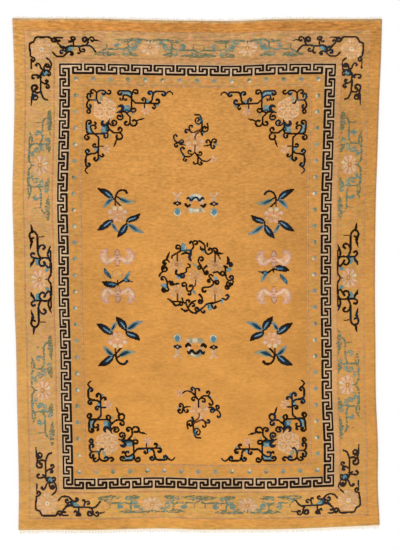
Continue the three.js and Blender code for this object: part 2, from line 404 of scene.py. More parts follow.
def patches(seed, high, wide):
    """A chart of smooth chance from 0 to 1: chance numbers a patch apart, blended between them."""
    row, column = np.arange(ROWS)[:, None] / high, np.arange(COLUMNS) / wide
    top, left = row.astype(int), column.astype(int)
    down, right = row - top, column - left
    chance = np.random.default_rng(seed).random((ROWS // high + 2, COLUMNS // wide + 2))
    upper = chance[top, left] * (1 - right) + chance[top, left + 1] * right
    lower = chance[top + 1, left] * (1 - right) + chance[top + 1, left + 1] * right
    return upper * (1 - down) + lower * down


# The dark yarn was dyed in two lots, one brown-black and one blue-black: how many knots a patch is
# across, how sharp its edge is, how far the blue holds back, and how deep it gets.
LOT_SEED = 12
LOT_PATCH, LOT_EDGE, LOT_START, LOT_BLUE = 11, 4, 2.4, 0.85
blue_lot = LOT_BLUE * np.clip(LOT_EDGE * patches(LOT_SEED, LOT_PATCH, LOT_PATCH) - LOT_START, 0, 1)


def knots_near(points, reach):
    """The part of the chart that holds the points and the knots within reach of them, in squares."""
    low, high = points.min(0) - reach, points.max(0) + reach
    columns = slice(*np.searchsorted(knot_u, (low[0], high[0])))
    rows = slice(*np.searchsorted(knot_v, (low[1], high[1])))
    u, v = np.meshgrid(knot_u[columns], knot_v[rows])
    return (rows, columns), u[..., None], v[..., None]


def stroke(yarn, points, width):
    """A line of knots: those no further from the path than half its width, which may change from
    point to point."""
    points = np.asarray(points, float)
    half = np.broadcast_to(np.asarray(width, float) / 2, len(points))
    part, u, v = knots_near(points, half.max())
    start, way = points[:-1], np.diff(points, axis=0)
    share = ((u - start[:, 0]) * way[:, 0] + (v - start[:, 1]) * way[:, 1]) / np.maximum((way**2).sum(1), 1e-9)
    share = np.clip(share, 0, 1)
    away = np.hypot(u - start[:, 0] - share * way[:, 0], v - start[:, 1] - share * way[:, 1])
    reach = half[:-1] + np.diff(half) * share
    chart[part][(away <= reach).any(-1)] = YARN_NAMES.index(yarn)


def tie_in(name):
    """Makes the knots on the chart a closed mesh and clears the chart. Every knot has a top and a
    foot inside the pile, a side goes down wherever the next knot isn't part of the figure, and the
    tops sink a little to the figure's rim, as clipping round a figure leaves them."""
    loose = (chart > 0) & ~tied
    framed = np.pad(loose, 1)
    corners = framed[:-1, :-1].astype(int) + framed[:-1, 1:] + framed[1:, :-1] + framed[1:, 1:]
    rows, columns = np.nonzero(loose)
    wide = COLUMNS + 1
    corner = rows * wide + columns
    tops = np.stack([corner, corner + 1, corner + 1 + wide, corner + wide], 1)
    used, tops = np.unique(tops, return_inverse=True)
    tops = tops.reshape(-1, 4)
    row, column = used // wide, used % wide
    across, along = (column - COLUMNS / 2) * KNOT, (row - ROWS / 2) * KNOT
    x, y = as_it_lies(across, along)
    z = pile_height(x, y, across, along)
    crown = np.where(corners[row, column] == 4, FIGURE_CROWN, FIGURE_RIM)
    points = np.concatenate([np.stack([x, y, z + crown], 1), np.stack([x, y, z - FIGURE_DEPTH], 1)])
    faces, owners = [tops, tops[:, ::-1] + len(used)], [np.arange(len(tops))] * 2
    for side, (step_row, step_column) in enumerate([(-1, 0), (0, 1), (1, 0), (0, -1)]):
        open_side = np.nonzero(~framed[rows + 1 + step_row, columns + 1 + step_column])[0]
        start, end = tops[open_side, side], tops[open_side, (side + 1) % 4]
        faces.append(np.stack([start + len(used), end + len(used), end, start], 1))
        owners.append(open_side)
    owner = np.concatenate(owners)
    weave = np.tile(np.stack([across, along], 1), (2, 1))
    piece = quad_piece(name, points, np.concatenate(faces), weave)
    yarns = chart[rows, columns]
    colours = np.array(list(YARNS.values()))[yarns]
    blue = (blue_lot[rows, columns] * (yarns == YARN_NAMES.index("soot")))[:, None]
    colours = (colours * (1 - blue) + YARNS["navy"] * blue) * flecks[rows, columns]
    colour_faces(piece, colours[owner], FIGURE_MOTTLE)
    piece.data.materials.append(wool)
    piece.data.polygons.foreach_set("use_smooth", np.arange(len(owner)) < len(tops))
    tied[loose] = True
    chart[:] = 0


FRET_LEFT, FRET_RIGHT, FRET_BOTTOM, FRET_TOP = -135.3, 135.9, -212.7, 208.9
# How far in from the outer bars lie the bars themselves, the two steps and the inner bars.
FRET_LEVELS = (0.0, 3.1, 5.4, 8.8)
FRET_LINE = 2.15
FRET_GAP = 3.6
FRET_STEP = 0.43
# The gaps between the outer bars: across the ends, how many there are on either side of the middle
# one, how far apart, and how that grows outwards; down the sides, how many, and where they begin.
FRET_END_GAPS = 5
FRET_TOP_PITCH, FRET_BOTTOM_PITCH = (21.9, 0.027), (22.5, 0.014)
FRET_SIDE_GAPS = 20
FRET_FIRST_GAP, FRET_LAST_GAP = 13.0, 12.4


def fret_side(length, gaps):
    """One side of the fret, as places along it and in from it. At each gap the line leaves an outer
    bar, steps back twice, runs along an inner bar and steps back twice to the next outer bar."""
    outer, low, high, inner = FRET_LEVELS
    middles = (gaps[1:] + gaps[:-1]) / 2
    starts = np.append(2 * gaps[0] - middles[0], middles) + FRET_GAP / 2
    ends = np.append(middles, 2 * gaps[-1] - middles[-1]) - FRET_GAP / 2
    a, b = gaps - FRET_GAP / 2, gaps + FRET_GAP / 2
    back, on = a + (starts - a) * FRET_STEP, b + (ends - b) * FRET_STEP
    along = np.stack([a, a, back, back, starts, starts, ends, ends, on, on, b, b], 1)
    depth = np.tile([outer, high, high, low, low, inner, inner, low, low, high, high, outer], (len(gaps), 1))
    return np.concatenate([[(0, 0)], np.stack([along.ravel(), depth.ravel()], 1), [(length, 0)]])


fret_width, fret_height = FRET_RIGHT - FRET_LEFT, FRET_TOP - FRET_BOTTOM
gap = np.arange(-FRET_END_GAPS, FRET_END_GAPS + 1)
for level, inward, (pitch, growth) in [(FRET_TOP, -1, FRET_TOP_PITCH), (FRET_BOTTOM, 1, FRET_BOTTOM_PITCH)]:
    along, depth = fret_side(fret_width, fret_width / 2 + pitch * gap + growth * gap**3).T
    stroke("umber", np.stack([FRET_LEFT + along, level + inward * depth], 1), FRET_LINE)
side_gaps = np.linspace(FRET_FIRST_GAP, fret_height - FRET_LAST_GAP, FRET_SIDE_GAPS)
along, depth = fret_side(fret_height, side_gaps).T
for level, inward in [(FRET_LEFT, 1), (FRET_RIGHT, -1)]:
    stroke("umber", np.stack([level + inward * depth, FRET_TOP - along], 1), FRET_LINE)
tie_in("fret")


# The buds are small two-toned dots in a row between the fret and the field's frame, each dark with
# a pale side towards the field.
def disc(yarn, u, v, radius):
    """The knots round one place."""
    stroke(yarn, [(u, v), (u, v)], 2 * radius)


BUD_LEFT, BUD_RIGHT, BUD_BOTTOM, BUD_TOP = -119.6, 119.8, -196.4, 194.0
BUDS_ACROSS = 15
BUDS_ALONG = 25
# The radii of a bud's soft rim, its dark part and its pale part, and how far each is off its middle.
BUD_RADII = (2.4, 1.8, 1.3)
BUD_SHIFTS = (0, -0.4, 0.9)
BUD_DARKS = ["faded_teal", "slate", "mist", "sage", "slate", "mist", "faded_teal"]
BUD_PALES = ["cream", "sage", "pearl", "haze", "sage"]
row_places = np.linspace(BUD_LEFT, BUD_RIGHT, BUDS_ACROSS)
side_places = np.linspace(BUD_BOTTOM, BUD_TOP, BUDS_ALONG)[1:-1]
buds = [(u, BUD_TOP, 0.5, -1.2) for u in row_places] + [(u, BUD_BOTTOM, 0.5, 1.2) for u in row_places]
buds += [(BUD_LEFT, v, 1.2, -0.4) for v in side_places] + [(BUD_RIGHT, v, -1.2, -0.4) for v in side_places]
for number, (u, v, right, up) in enumerate(buds):
    dark, pale = BUD_DARKS[number * 5 % len(BUD_DARKS)], BUD_PALES[number * 3 % len(BUD_PALES)]
    for yarn, radius, shift in zip(("haze", dark, pale), BUD_RADII, BUD_SHIFTS):
        disc(yarn, u + shift * right, v + shift * up, radius)
tie_in("buds")


# The corner vines: a dark tendril with hooks and blue buds runs out both ways from a pale peony in
# each corner of the border.
def smooth(points, steps=8):
    """A smooth line through the points: between two of them a cubic whose slope at each point is
    the way from the point before to the point after (a Catmull-Rom curve)."""
    points = np.asarray(points, float)
    if len(points) < 3:
        return points
    knots = np.vstack([2 * points[0] - points[1], points, 2 * points[-1] - points[-2]])
    t = np.linspace(0, 1, steps, endpoint=False)[:, None]
    before, start, end, after = knots[:-3, None], knots[1:-2, None], knots[2:-1, None], knots[3:, None]
    square = (2 * before - 5 * start + 4 * end - after) * t**2
    cubic = (3 * start - before - 3 * end + after) * t**3
    line = 0.5 * (2 * start + (end - before) * t + square + cubic)
    return np.vstack([line.reshape(-1, 2), points[-1]])


# A curl winds in to this share of its radius, and the line swells to its end. In these yarns the
# eye that it winds round is filled with a paler yarn.
CURL_TIGHTENS = 0.36
CURL_STEPS = 26
CURL_SWELLS = 1.35
EYES = {"ink": "mist", "indigo": "mist", "umber": "navy", "slate": "faded_teal"}


def curl(line, turn, radius, tighten=CURL_TIGHTENS):
    """Carries a line on as a spiral: from its last heading it turns by so many degrees, while its
    radius shrinks evenly to the given share. Gives the line, and the middle and radius of the eye
    that the spiral ends round."""
    heading = np.arctan2(*(line[-1] - line[-2])[::-1])
    share = (np.arange(CURL_STEPS) + 0.5) / CURL_STEPS
    angle = heading + np.radians(turn) * share
    reach = radius * (1 - (1 - tighten) * share) * abs(np.radians(turn)) / CURL_STEPS
    steps_on = np.stack([np.cos(angle), np.sin(angle)], 1) * reach[:, None]
    line = np.vstack([line, line[-1] + np.cumsum(steps_on, 0)])
    last = heading + np.radians(turn)
    eye = line[-1] + np.sign(turn) * tighten * radius * np.array([-np.sin(last), np.cos(last)])
    return line, eye, tighten * radius


def draw(rows, u, v, side, end, swapped=False):
    """Draws a figure round its middle on the carpet, in squares, stretched by so much across and
    along (-1 mirrors it), with the two swapped if so asked. A row is a yarn, a width (None fills the
    outline, and several widths taper), points right and down from the middle, and maybe a curl."""
    def on_carpet(path):
        path = np.atleast_2d(path)
        return (path[:, ::-1] if swapped else path) * (side, -end) + (u, v)

    for yarn, width, points, *spiral in rows:
        if width is None:
            fill(yarn, on_carpet(smooth(points + points[:1])))
            continue
        line, stages = smooth(points), np.atleast_1d(width)
        if spiral:
            line, eye, radius = curl(line, *spiral)
            if yarn in EYES:
                disc(EYES[yarn], *on_carpet(eye)[0], radius)
            stages = np.append(stages, [stages[-1], CURL_SWELLS * stages[-1]])
        share = np.linspace(0, 1, len(line))
        stroke(yarn, on_carpet(line), np.interp(share, np.linspace(0, 1, len(stages)), stages))


def fill(yarn, outline):
    """The knots inside an outline: those from which a line to the right crosses it an odd number
    of times."""
    part, u, v = knots_near(outline, 0)
    start, end = outline[:-1], outline[1:]
    passed = (start[:, 1] > v) != (end[:, 1] > v)
    rise = end[:, 1] - start[:, 1]
    crossing = start[:, 0] + (v - start[:, 1]) * (end[:, 0] - start[:, 0]) / np.where(rise == 0, 1, rise)
    chart[part][(passed & (crossing > u)).sum(-1) % 2 == 1] = YARN_NAMES.index(yarn)


def flower(rings, u, v):
    """A flower seen from above. A ring is a yarn, how many petals stand round (one at nought is a
    disc), the radius they run from and to, their width, the first one's turn in degrees, and for
    petals in outline how far they bulge, which is most at 0.6 of their length."""
    for yarn, count, near, far, width, start, *bulge in rings:
        for angle in np.radians(start) + 2 * np.pi * np.arange(count) / count:
            out = np.array([np.cos(angle), np.sin(angle)])
            aside = np.array([-out[1], out[0]]) * (bulge[0] if bulge else 0)
            middle = (0.4 * near + 0.6 * far) * out
            path = [near * out, middle + aside, far * out]
            if bulge:
                path = smooth(path + [middle - aside, near * out])
            share = np.linspace(0, 1, len(path))
            stroke(yarn, np.array(path) + (u, v), np.interp(share, [0, 1], np.broadcast_to(width, 2)))


CORNER_ALONG = [
    ("deep_teal", None, [(23.2, -3.6), (30.2, -4.6), (31, -1.6), (26, 1.4), (22.6, 1.6)]),
    ("teal", None, [(26.4, -3.4), (30.6, -4), (30.6, -1.2), (26.4, 1)]),
    ("sky", 1.6, [(28.4, -2.8), (30, -2.2)]),
    ("navy", None, [(18.4, -4.2), (22.8, -3.6), (23.2, -1.8), (18.8, -2.2)]),
    ("umber", 2.0, [(-11.4, 6), (-11.9, -4.8), (-9.4, -7.4), (-8.1, -7.8), (-5.3, -12.2), (0, -12.5),
     (7.9, -12.4), (10, -9.4)], -300, 2.7),
    ("soot", (2, 1.4), [(13.8, -11.8), (17.7, -12.4), (20.6, -12.2)]),
    ("umber", 1.9, [(18.6, -4.1), (16, -6.4)], 200, 2.1),
    ("soot", (1.2, 2.4, 1.6), [(17.7, -3.6), (20.4, -1.8), (23.1, -2.2)]),
    ("soot", 1.9, [(23.1, 1.7), (24.2, -2.1), (27.4, -4), (34, -3.8), (44.2, -4.3), (47.5, -4), (50.2, -1.7),
     (52.6, 1.6)]),
    ("soot", 2.0, [(43.6, -4.6), (45.2, -7.2), (45.3, -9.6)], -360, 3.0),
    ("soot", 1.8, [(45.8, -9.6), (46.8, -11.4)], 300, 2.8),
    ("soot", (1.8, 0.8), [(51.6, -9.6), (54.4, -9.8), (57.8, -8.6)]),
    ("soot", 1.8, [(31, -5), (31, -8.4), (29.8, -11), (28.6, -12.2)]),
    ("umber", 1.8, [(29.2, -12.5), (31.4, -12.6)], 220, 1.7),
    ("soot", 1.9, [(29.4, -11.6), (29.4, -9.4)], 160, 1.8),
    ("ink", 1.9, [(23.4, 1.6), (20.8, 0.4)], -250, 2.3),
    ("umber", 1.9, [(10.9, 2.5), (13.6, 5.8), (17, 6.6), (20.8, 6.1), (23.4, 3.8), (26, 1.9),
     (28.6, 1.9)], 230, 1.9),
    ("deep_teal", 2.4, [(36.4, -3), (36.6, -2.4)]),
    ("soot", 1.7, [(36.8, -2), (37.4, 1.8)], 170, 1.7),
    ("soot", 1.7, [(37.5, 1), (39.6, 1.8)], -240, 2.0),
]
CORNER_DOWN = [
    ("navy", None, [(-1.4, 21.4), (2, 19.4), (6, 20), (5.6, 24.4), (1.6, 26.4), (-1.4, 25)]),
    ("teal", None, [(1, 21.4), (4.8, 21.2), (5, 24), (1.6, 25)]),
    ("sky", 1.4, [(2.6, 22), (3.8, 22.4)]),
    ("indigo", 2.4, [(-6, 15.6), (-5.6, 15.8)]),
    ("navy", 2.2, [(-3, 27.2), (-4.6, 27.8)]),
    ("deep_teal", 2.2, [(3.6, 32.4), (4.4, 32.6)]),
    ("soot", 1.9, [(-11.6, 3.6), (-11.2, 6.4), (-8.8, 7.6)], 290, 2.4),
    ("soot", (1.2, 2.0), [(-10.9, 12.4), (-11, 18.6)]),
    ("soot", 2.0, [(-6.4, 15.2), (-4.6, 13.6), (-2.4, 15.2), (-1.2, 18.4), (0.6, 20.4)]),
    ("soot", 2.0, [(0.8, 20.6), (-1, 23), (-1.8, 26.4), (-1.8, 40.2), (-0.6, 44.8), (1.2, 48.4), (4.4, 49.8)]),
    ("soot", 1.9, [(4.6, 8.2), (7.6, 11), (8.8, 14.6), (7.6, 19), (5.6, 21.6)]),
    ("umber", 1.9, [(6.2, 20.8), (7.6, 23)], 180, 1.9),
    ("umber", 1.9, [(2.2, 21.8), (1.6, 18.4), (2.6, 15.4)], 340, 2.3),
    ("soot", (2.6, 2.0, 1.9), [(-1.8, 27.4), (-4, 25.6), (-8, 25)], -210, 2.5),
    ("soot", 1.8, [(-1.6, 31.2), (1.6, 33.4), (4, 33)], -230, 1.8),
    ("soot", 1.9, [(1.8, 33.6), (5, 34.6)], 260, 2.2),
    ("soot", 2.2, [(-1.6, 41.8), (-5.4, 42.6), (-8.6, 41.4)], 340, 3.7),
    ("soot", 1.9, [(-10, 41.4), (-9.6, 44.6)], -100, 2.4),
    ("soot", 1.8, [(-9.8, 44.4), (-7.4, 44.8)], 290, 2.9, 0.5),
    ("soot", (1.6, 2.2, 0.9), [(-10.4, 44), (-10.8, 49), (-11.2, 55.4)]),
]
CORNER_FLOWER = [
    ("honey", 1, 0, 0, 20, 0), ("blush", 14, 4.2, 9.8, (0.9, 2.1), 4), ("straw", 14, 3.8, 10.2, (0.6, 0.8), 17),
    ("shell", 5, 7.6, 9.8, (1.2, 2.0), 30), ("rose", 1, 0, 0, 6.2, 0), ("honey", 1, 0, 0, 5.0, 0),
    ("cream", 1, 0, 0, 5.0, 0), ("pearl", 1, 0, 0, 3.4, 0), ("sage", 1, 0, 0, 1.3, 0),
]
CORNER_FLOWER_OUT = 0.5
CORNER = CORNER_ALONG + CORNER_DOWN
PALER_CORNER = [("dusk" if yarn in ("soot", "umber") else yarn, *row) for yarn, *row in CORNER]
CORNERS = [(-152.6, 223.0, 1, 1), (151.0, 223.7, -1, 1), (-151.5, -227.7, 1, -1), (150.3, -227.6, -1, -1)]
for number, (u, v, side, end) in enumerate(CORNERS, 1):
    draw(CORNER if number == 1 else PALER_CORNER, u, v, side, end)
    tie_in(f"corner_vine_{number}")
    flower(CORNER_FLOWER, u - side * CORNER_FLOWER_OUT, v + end * CORNER_FLOWER_OUT)
    tie_in(f"corner_flower_{number}")


# The border's other vines: each is a stem with hooks that frames a half-open flower, one half of it
# mirrored about the flower. The middle ones of both sides are dark, with the stem on the fret's
# side. The rest have faded to grey-green and are partly worn away, the stem on the outer side.
VINE_HALF = [
    ("leaf", None, [(-5.2, 14.4), (-2.4, 14.2), (-1.6, 20), (-5, 20.6)]),
    ("leaf", None, [(3.8, 8), (6.6, 7.6), (8, 10.4), (4.8, 10.8)]),
    ("main", (1.6, 2.2, 2.2), [(7, 0), (8.4, 2.6), (9.8, 5.4), (9.8, 18.4), (9.1, 20.6)]),
    ("main", 2.0, [(9.8, 16.8), (8, 20.2), (4.6, 21.4), (-1.4, 21), (-7.4, 21.2)]),
    ("hook", (2.2, 2.2, 2.6), [(0.2, 21), (-1.7, 17.6), (-0.8, 14.2), (1.7, 13.2), (4, 14.9), (3.1, 17.2)]),
    ("hook", 2.0, [(9.4, 15.8), (8.8, 12.8), (6.9, 11.8), (5.4, 13.8)]),
    ("stalk", 2.1, [(-0.4, 21.4), (-2.4, 25), (-3, 29), (-3, 40), (-3.8, 44.6), (-6.4, 47.4), (-9.6, 46.6),
     (-10.9, 43.4), (-9.4, 40.6), (-7, 41.4)]),
    ("hook", (1.9, 1.9, 2.6), [(-3, 26.4), (-2.4, 30.4), (-0.2, 33.6), (2.7, 34), (4.2, 31.9), (2.6, 30)]),
    ("stem", 1.2, [(-2.8, 42.2), (3.4, 42.6)]),
    ("stalk", (2.2, 2.6, 1.0), [(-8, 47), (-8.4, 50.4), (-9, 54.4)]),
    ("stalk", (2.0, 3.2, 2.4, 0.8), [(-10.8, 42.4), (-9.2, 38.4), (-9.4, 35), (-10.8, 30.2)]),
    ("hook", (1.8, 2.0, 2.4), [(-4, 21), (-7.2, 21.4), (-9.8, 23.4), (-9, 26.2), (-6.6, 25.6)]),
    ("main", (0.9, 3.0, 2.6, 1.6), [(-10.4, 12.6), (-9.6, 15.4), (-7.8, 17.6), (-7, 20.6)]),
    ("main", (1.8, 2.0, 2.0, 2.2, 0.9), [(9.2, 19.6), (7.4, 22.4), (7, 25.6), (8.2, 29.4), (9.8, 33.4)]),
    ("main", (1.6, 2.0), [(9.2, 20), (10, 23.6), (9.4, 28)]),
]
VINE_FLOWER = [
    ("honey", None, [(5.4, 0), (4.4, -6.2), (0, -9.8), (-5.4, -8.6), (-8.4, -3.4), (-8.4, 3.4), (-5.4, 8.6),
     (0, 9.8), (4.4, 6.2)]),
    ("pink", (1.2, 3.2), [(-1, -3.6), (-0.6, -8.4)]), ("shell", (1.2, 3.2), [(-1, 3.6), (-0.6, 8.4)]),
    ("shell", (1.2, 3.4), [(-3.4, -3), (-5.8, -6.8)]), ("pink", (1.2, 3.4), [(-3.4, 3), (-5.8, 6.8)]),
    ("pearl", (1.2, 3.0), [(-4.6, -1.2), (-8, -2.6)]), ("shell", (1.2, 3.2), [(-4.6, 1.4), (-8, 2.8)]),
    ("blush", (1.2, 3.0), [(1.4, -2.6), (3.4, -5.6)]), ("shell", (1.2, 3.0), [(1.4, 2.6), (3.4, 5.6)]),
    ("shell", (1.0, 2.4), [(2.2, -0.8), (4.4, -1.6)]), ("blush", (1.0, 2.4), [(2.2, 1), (4.4, 1.8)]),
    ("tan", 0.7, [(-2.4, -3.4), (-3.4, -7.6)]), ("tan", 0.7, [(-2.4, 3.4), (-3.4, 7.6)]),
    ("tan", 0.7, [(-4, -2.2), (-7, -4.8)]), ("tan", 0.7, [(-4, 2.4), (-7, 5)]),
    ("tan", 0.7, [(0.8, -3.4), (1.6, -6.4)]),
    ("tan", 0.7, [(0.8, 3.4), (1.6, 6.4)]), ("clay", 3.6, [(-1.2, -0.6), (-1.2, 0.6)]),
    ("cream", 1.4, [(-1.2, -0.2), (-1.2, 0.2)]),
    ("stem", 1.2, [(7, 0), (4.4, 0)]),
]
DARK_VINE = {"main": "soot", "stalk": "soot", "leaf": "teal", "stem": "rust"}
FADED_VINE = {"main": "slate", "stalk": "slate", "hook": "faded_teal", "leaf": "sage", "stem": "slate"}
SOFT_FLOWER = {"pearl": "cream", "pink": "blush", "tan": "straw", "clay": "tan", "stem": "slate"}
# How thick the lines are against the drawn ones, and then how far they are squeezed and shifted.
DARK_FIT = (1.03,)
FADED_FIT = (0.88,)
FLAT_FIT = (0.95, 0.763, -1.2)
FLAT_FLOWER_FIT = (1.0, 0.88)
FADED_LEAVES = [
    ("olive", (2.0, 4.8, 5.0, 2.0), [(-9.8, 54), (-9.6, 48), (-10, 41), (-10.4, 34)]),
    ("olive", (2.0, 4.8, 4.2), [(-10.2, 13), (-9.4, 17.6), (-9, 25)]),
]
FADED_EYES = [
    ("faded_teal", 3.4, [(1.8, 32.2), (2.2, 32)]), ("faded_teal", 3.4, [(1.4, 16.2), (1.8, 16.4)]),
    ("sage", 2.8, [(-7.4, 24.4), (-7.8, 24.4)]), ("faded_teal", 3.0, [(6, 10.6), (6.4, 11.6)]),
    ("mist", 2.8, [(-8.2, 43.6), (-8.4, 43.6)]),
]
# The faded vines' yarn is worn away in short dashes: how many knots one is high and wide, and from
# which share of chance it is gone.
WORN_DASH = (1, 4)
WORN_AWAY = 0.28
WORN_SEED = 31
worn = patches(WORN_SEED, *WORN_DASH)


def dyed(rows, yarns, thick=1.0, squeeze=1.0, shift=0.0):
    """Rows with yarns in place of the parts' names, lines so many times as thick as drawn, and
    squeezed and shifted across."""
    return [(yarns.get(part, part), width if width is None else thick * np.array(width),
             [(right * squeeze + shift, down) for right, down in points], *spiral)
            for part, width, points, *spiral in rows]


# Each dark vine by its flower's place, the way its flower's stem points, and its hooks' yarn.
DARK_VINES = [("left_middle", -153.5, -5.3, 1, "ink"), ("right_middle", 152.9, -5.0, -1, "umber")]
for name, u, v, way, hook in DARK_VINES:
    for half in (1, -1):
        draw(dyed(VINE_HALF, {**DARK_VINE, "hook": hook}, *DARK_FIT), u, v, way, half)
    draw(dyed(VINE_FLOWER, DARK_VINE), u, v, way, 1)
    tie_in(f"vine_{name}")

# The faded ones likewise, and whether they lie across the carpet: those are flatter.
FADED_VINES = [
    ("left_top", -155.1, 108.1, -1, False), ("right_top", 154.6, 108.4, 1, False),
    ("left_bottom", -155.6, -115.6, -1, False), ("right_bottom", 153.4, -112.4, 1, False),
    ("top_left", -46.4, 227.9, -1, True), ("top_right", 49.2, 227.9, -1, True),
    ("bottom_left", -46.6, -231.3, 1, True), ("bottom_right", 49.2, -231.6, 1, True),
]
for name, u, v, way, lies_across in FADED_VINES:
    fit = FLAT_FIT if lies_across else FADED_FIT
    half_rows = dyed(FADED_LEAVES + VINE_HALF + FADED_EYES, FADED_VINE, *fit)
    for half in (1, -1):
        draw(half_rows, u, v, *((half, way) if lies_across else (way, half)), lies_across)
    chart[worn < WORN_AWAY] = 0
    if lies_across:
        draw(dyed(VINE_FLOWER, SOFT_FLOWER, *FLAT_FLOWER_FIT), u, v, 1, way, True)
    else:
        draw(dyed(VINE_FLOWER, FADED_VINE), u, v, way, 1)
    tie_in(f"vine_{name}")


# The spandrels fill the field's corners: each is one dark scroll drawn twice, mirrored about the
# corner's diagonal, round a pale peony, with small flowers between the hooks.
SPANDREL_COMMA = [(35.6, 21.6), (36.6, 20.5), (39, 20.3), (40.4, 21.9), (39.6, 24), (37.3, 26), (34, 27.5)]
SPANDREL_SCROLL = [
    ("teal", None, [(38.6, 5.8), (46, 5.6), (48.2, 8), (48, 11), (45, 10), (43, 8.6), (39.5, 8.6)]),
    ("sky", (1.2, 2.4, 1.8), [(40, 7.4), (43.6, 7), (46.6, 8.6)]), ("mist", 1.4, [(41.6, 6.6), (44.4, 6.8)]),
    ("teal", None, [(62.8, 12.6), (64.6, 13), (67, 15), (66, 16.6), (62.4, 16.6)]),
    ("sky", 1.8, [(63.6, 14.4), (64.8, 15)]),
    ("teal", None, [(41.3, 20), (46.5, 19.3), (47.4, 22), (46, 25.2), (41, 25.4), (40, 24.5), (41.5, 22.5)]),
    ("deep_teal", (1.4, 2.0), [(41.4, 24.6), (45.4, 24.6)]), ("sky", (2.6, 1.6), [(43, 21.2), (44.6, 22.8)]),
    ("mist", 1.4, [(45.8, 20.6), (46.2, 22)]),
    ("sky", None, [(66, 5.8), (68.6, 5.6), (69, 7.6), (66.5, 7.6)]),
    ("sky", None, [(79, 6.4), (82, 6.4), (81.6, 8.6), (79.4, 8.4)]),
    ("sage", None, [(49, 27.6), (52, 27.8), (51, 29.6), (49.4, 29.4)]),
    ("teal", None, [(73.6, 18.4), (76.2, 17.4), (76, 19.6), (74, 20.2)]),
    ("soot", 1.9, [(49.1, 8.5), (47.6, 5.4), (44, 4.8), (38, 4.6)], -290, 2.7),
    ("soot", 1.9, [(48.8, 12.2), (46.2, 10), (43, 8.9), (41, 9.4), (40.5, 11.5)]),
    ("soot", 1.6, [(40.5, 10.5), (40, 13)], 200, 1.7),
    ("soot", 1.6, [(40.6, 11), (41, 13)], -170, 1.9),
    ("soot", 2.0, [(49.2, 7.5), (48.9, 12), (48.8, 20), (48.5, 25)]),
    ("soot", 1.9, [(49.2, 8), (50.2, 5.2)], 310, 2.9),
    ("soot", 1.9, [(49.3, 13.3), (51, 15), (52.6, 16.7), (56, 17), (62, 17.2), (70, 17.2),
     (73.8, 17.3)], -240, 2.7),
    ("soot", 1.8, [(62.4, 17), (62.7, 13.8)], -260, 2.1),
    ("soot", 1.9, [(66.3, 16.7), (68.7, 14.5), (69.5, 11), (69.9, 7), (70.4, 5.8)]),
    ("soot", 1.5, [(61.7, 17.5), (61.8, 21.8)]),
    ("soot", 1.8, [(70.8, 17.8), (72.2, 19.6)], 215, 2.0),
    ("soot", 1.8, [(47.3, 25.2), (49.8, 26.2)], -250, 2.7),
    ("soot", 1.9, [(70.3, 8), (69.3, 5.9)], -265, 2.5),
    ("soot", 1.9, [(70.3, 8), (71.8, 5.3), (76, 4.8), (80, 4.9)], 270, 2.6),
    ("soot", (1.8, 1.4), [(83, 6.8), (84.8, 5.3), (86.6, 4.7), (88.6, 5.8), (89.6, 7.4)]),
    ("soot", 2.0, [(37, 26.6), (41, 26), (44.5, 26.8), (47.8, 25.3)]),
    ("soot", 1.8, [(38, 26.4), (40, 29.2)], 380, 3.6, 0.28),
    ("soot", 1.8, [(43.5, 26.8), (45.5, 29.2), (47.7, 32), (47.9, 37)], -300, 3.7, 0.62),
    ("soot", 1.9, [(47.9, 35.5), (47.2, 38)], 275, 2.9),
    ("soot", (1.9, 1.6, 2, 0.8), [(54, 35.6), (57, 34), (59, 33.6), (61.8, 32.4)]),
    ("ink", (1.3, 2.2, 3.4, 3.0, 2.4, 2.2, 0.9), SPANDREL_COMMA),
    ("indigo", (0.4, 1.2, 2.0, 1.6, 0.6), SPANDREL_COMMA[1:5]),
]
SPANDREL_CORNER = [
    ("sage", (1.6, 2.8, 1.8), [(19.8, 9.6), (19.2, 12), (18, 15.2)]),
    ("sky", 1.6, [(21.2, 6.4), (21.4, 7.2)]),
    ("sage", 1.6, [(6.6, 10), (6.6, 11.4)]),
    ("mist", 1.4, [(12.4, 12.6), (13.2, 12)]),
    ("soot", (2.2, 1.9, 1.9, 1.9), [(10.2, 7.7), (8.6, 6.7), (8.5, 5), (10.3, 4.3), (12.4, 5.1), (13.9, 6.6)]),
    ("soot", 1.8, [(13.9, 6.6), (14.1, 10.6), (14.1, 13.8), (15.3, 15.8), (16.4, 17.6), (18, 17.6)]),
    ("soot", 1.9, [(14.4, 7.2), (15.9, 5.7), (17.6, 5), (20.2, 4.7), (22.3, 5.5), (23.6, 7), (25, 7.9),
     (26.6, 8.1), (28.1, 7), (27.8, 5.2), (26, 4.7)]),
    ("ink", (1.6, 2.2, 2.4, 1.8), [(19.5, 7.7), (20.6, 8.6), (22.2, 8.3), (23.2, 6.8)]),
    ("rust", 1.9, [(6.6, 14.6), (14.2, 14.7)]),
    ("deep_teal", 1.7, [(11, 14.7), (13.4, 14.7)]),
    ("soot", (1.9, 1.9, 1.9, 2.4), [(6.8, 14.4), (5.2, 13.1), (4.8, 11.2), (5.3, 8.9), (6.7, 8.1), (8, 9.3),
     (8.1, 11.4)]),
    ("soot", 1.9, [(7.2, 14.6), (5.4, 16.4), (4.8, 18.6), (4.9, 21.6), (6.2, 23.2)]),
    ("ink", (1.9, 2.4, 2.2), [(6.2, 23.2), (7.8, 22.7), (8.6, 21), (7.9, 19.8)]),
    ("soot", (1.7, 1.9, 2.2), [(6.6, 23.8), (4.9, 25.5), (5.2, 27.3), (6.8, 28), (8, 26.9), (7.8, 25)]),
]
SPANDREL_ACROSS, SPANDREL_ALONG, SPANDREL_LEVEL = 113.4, 188.9, -1.3
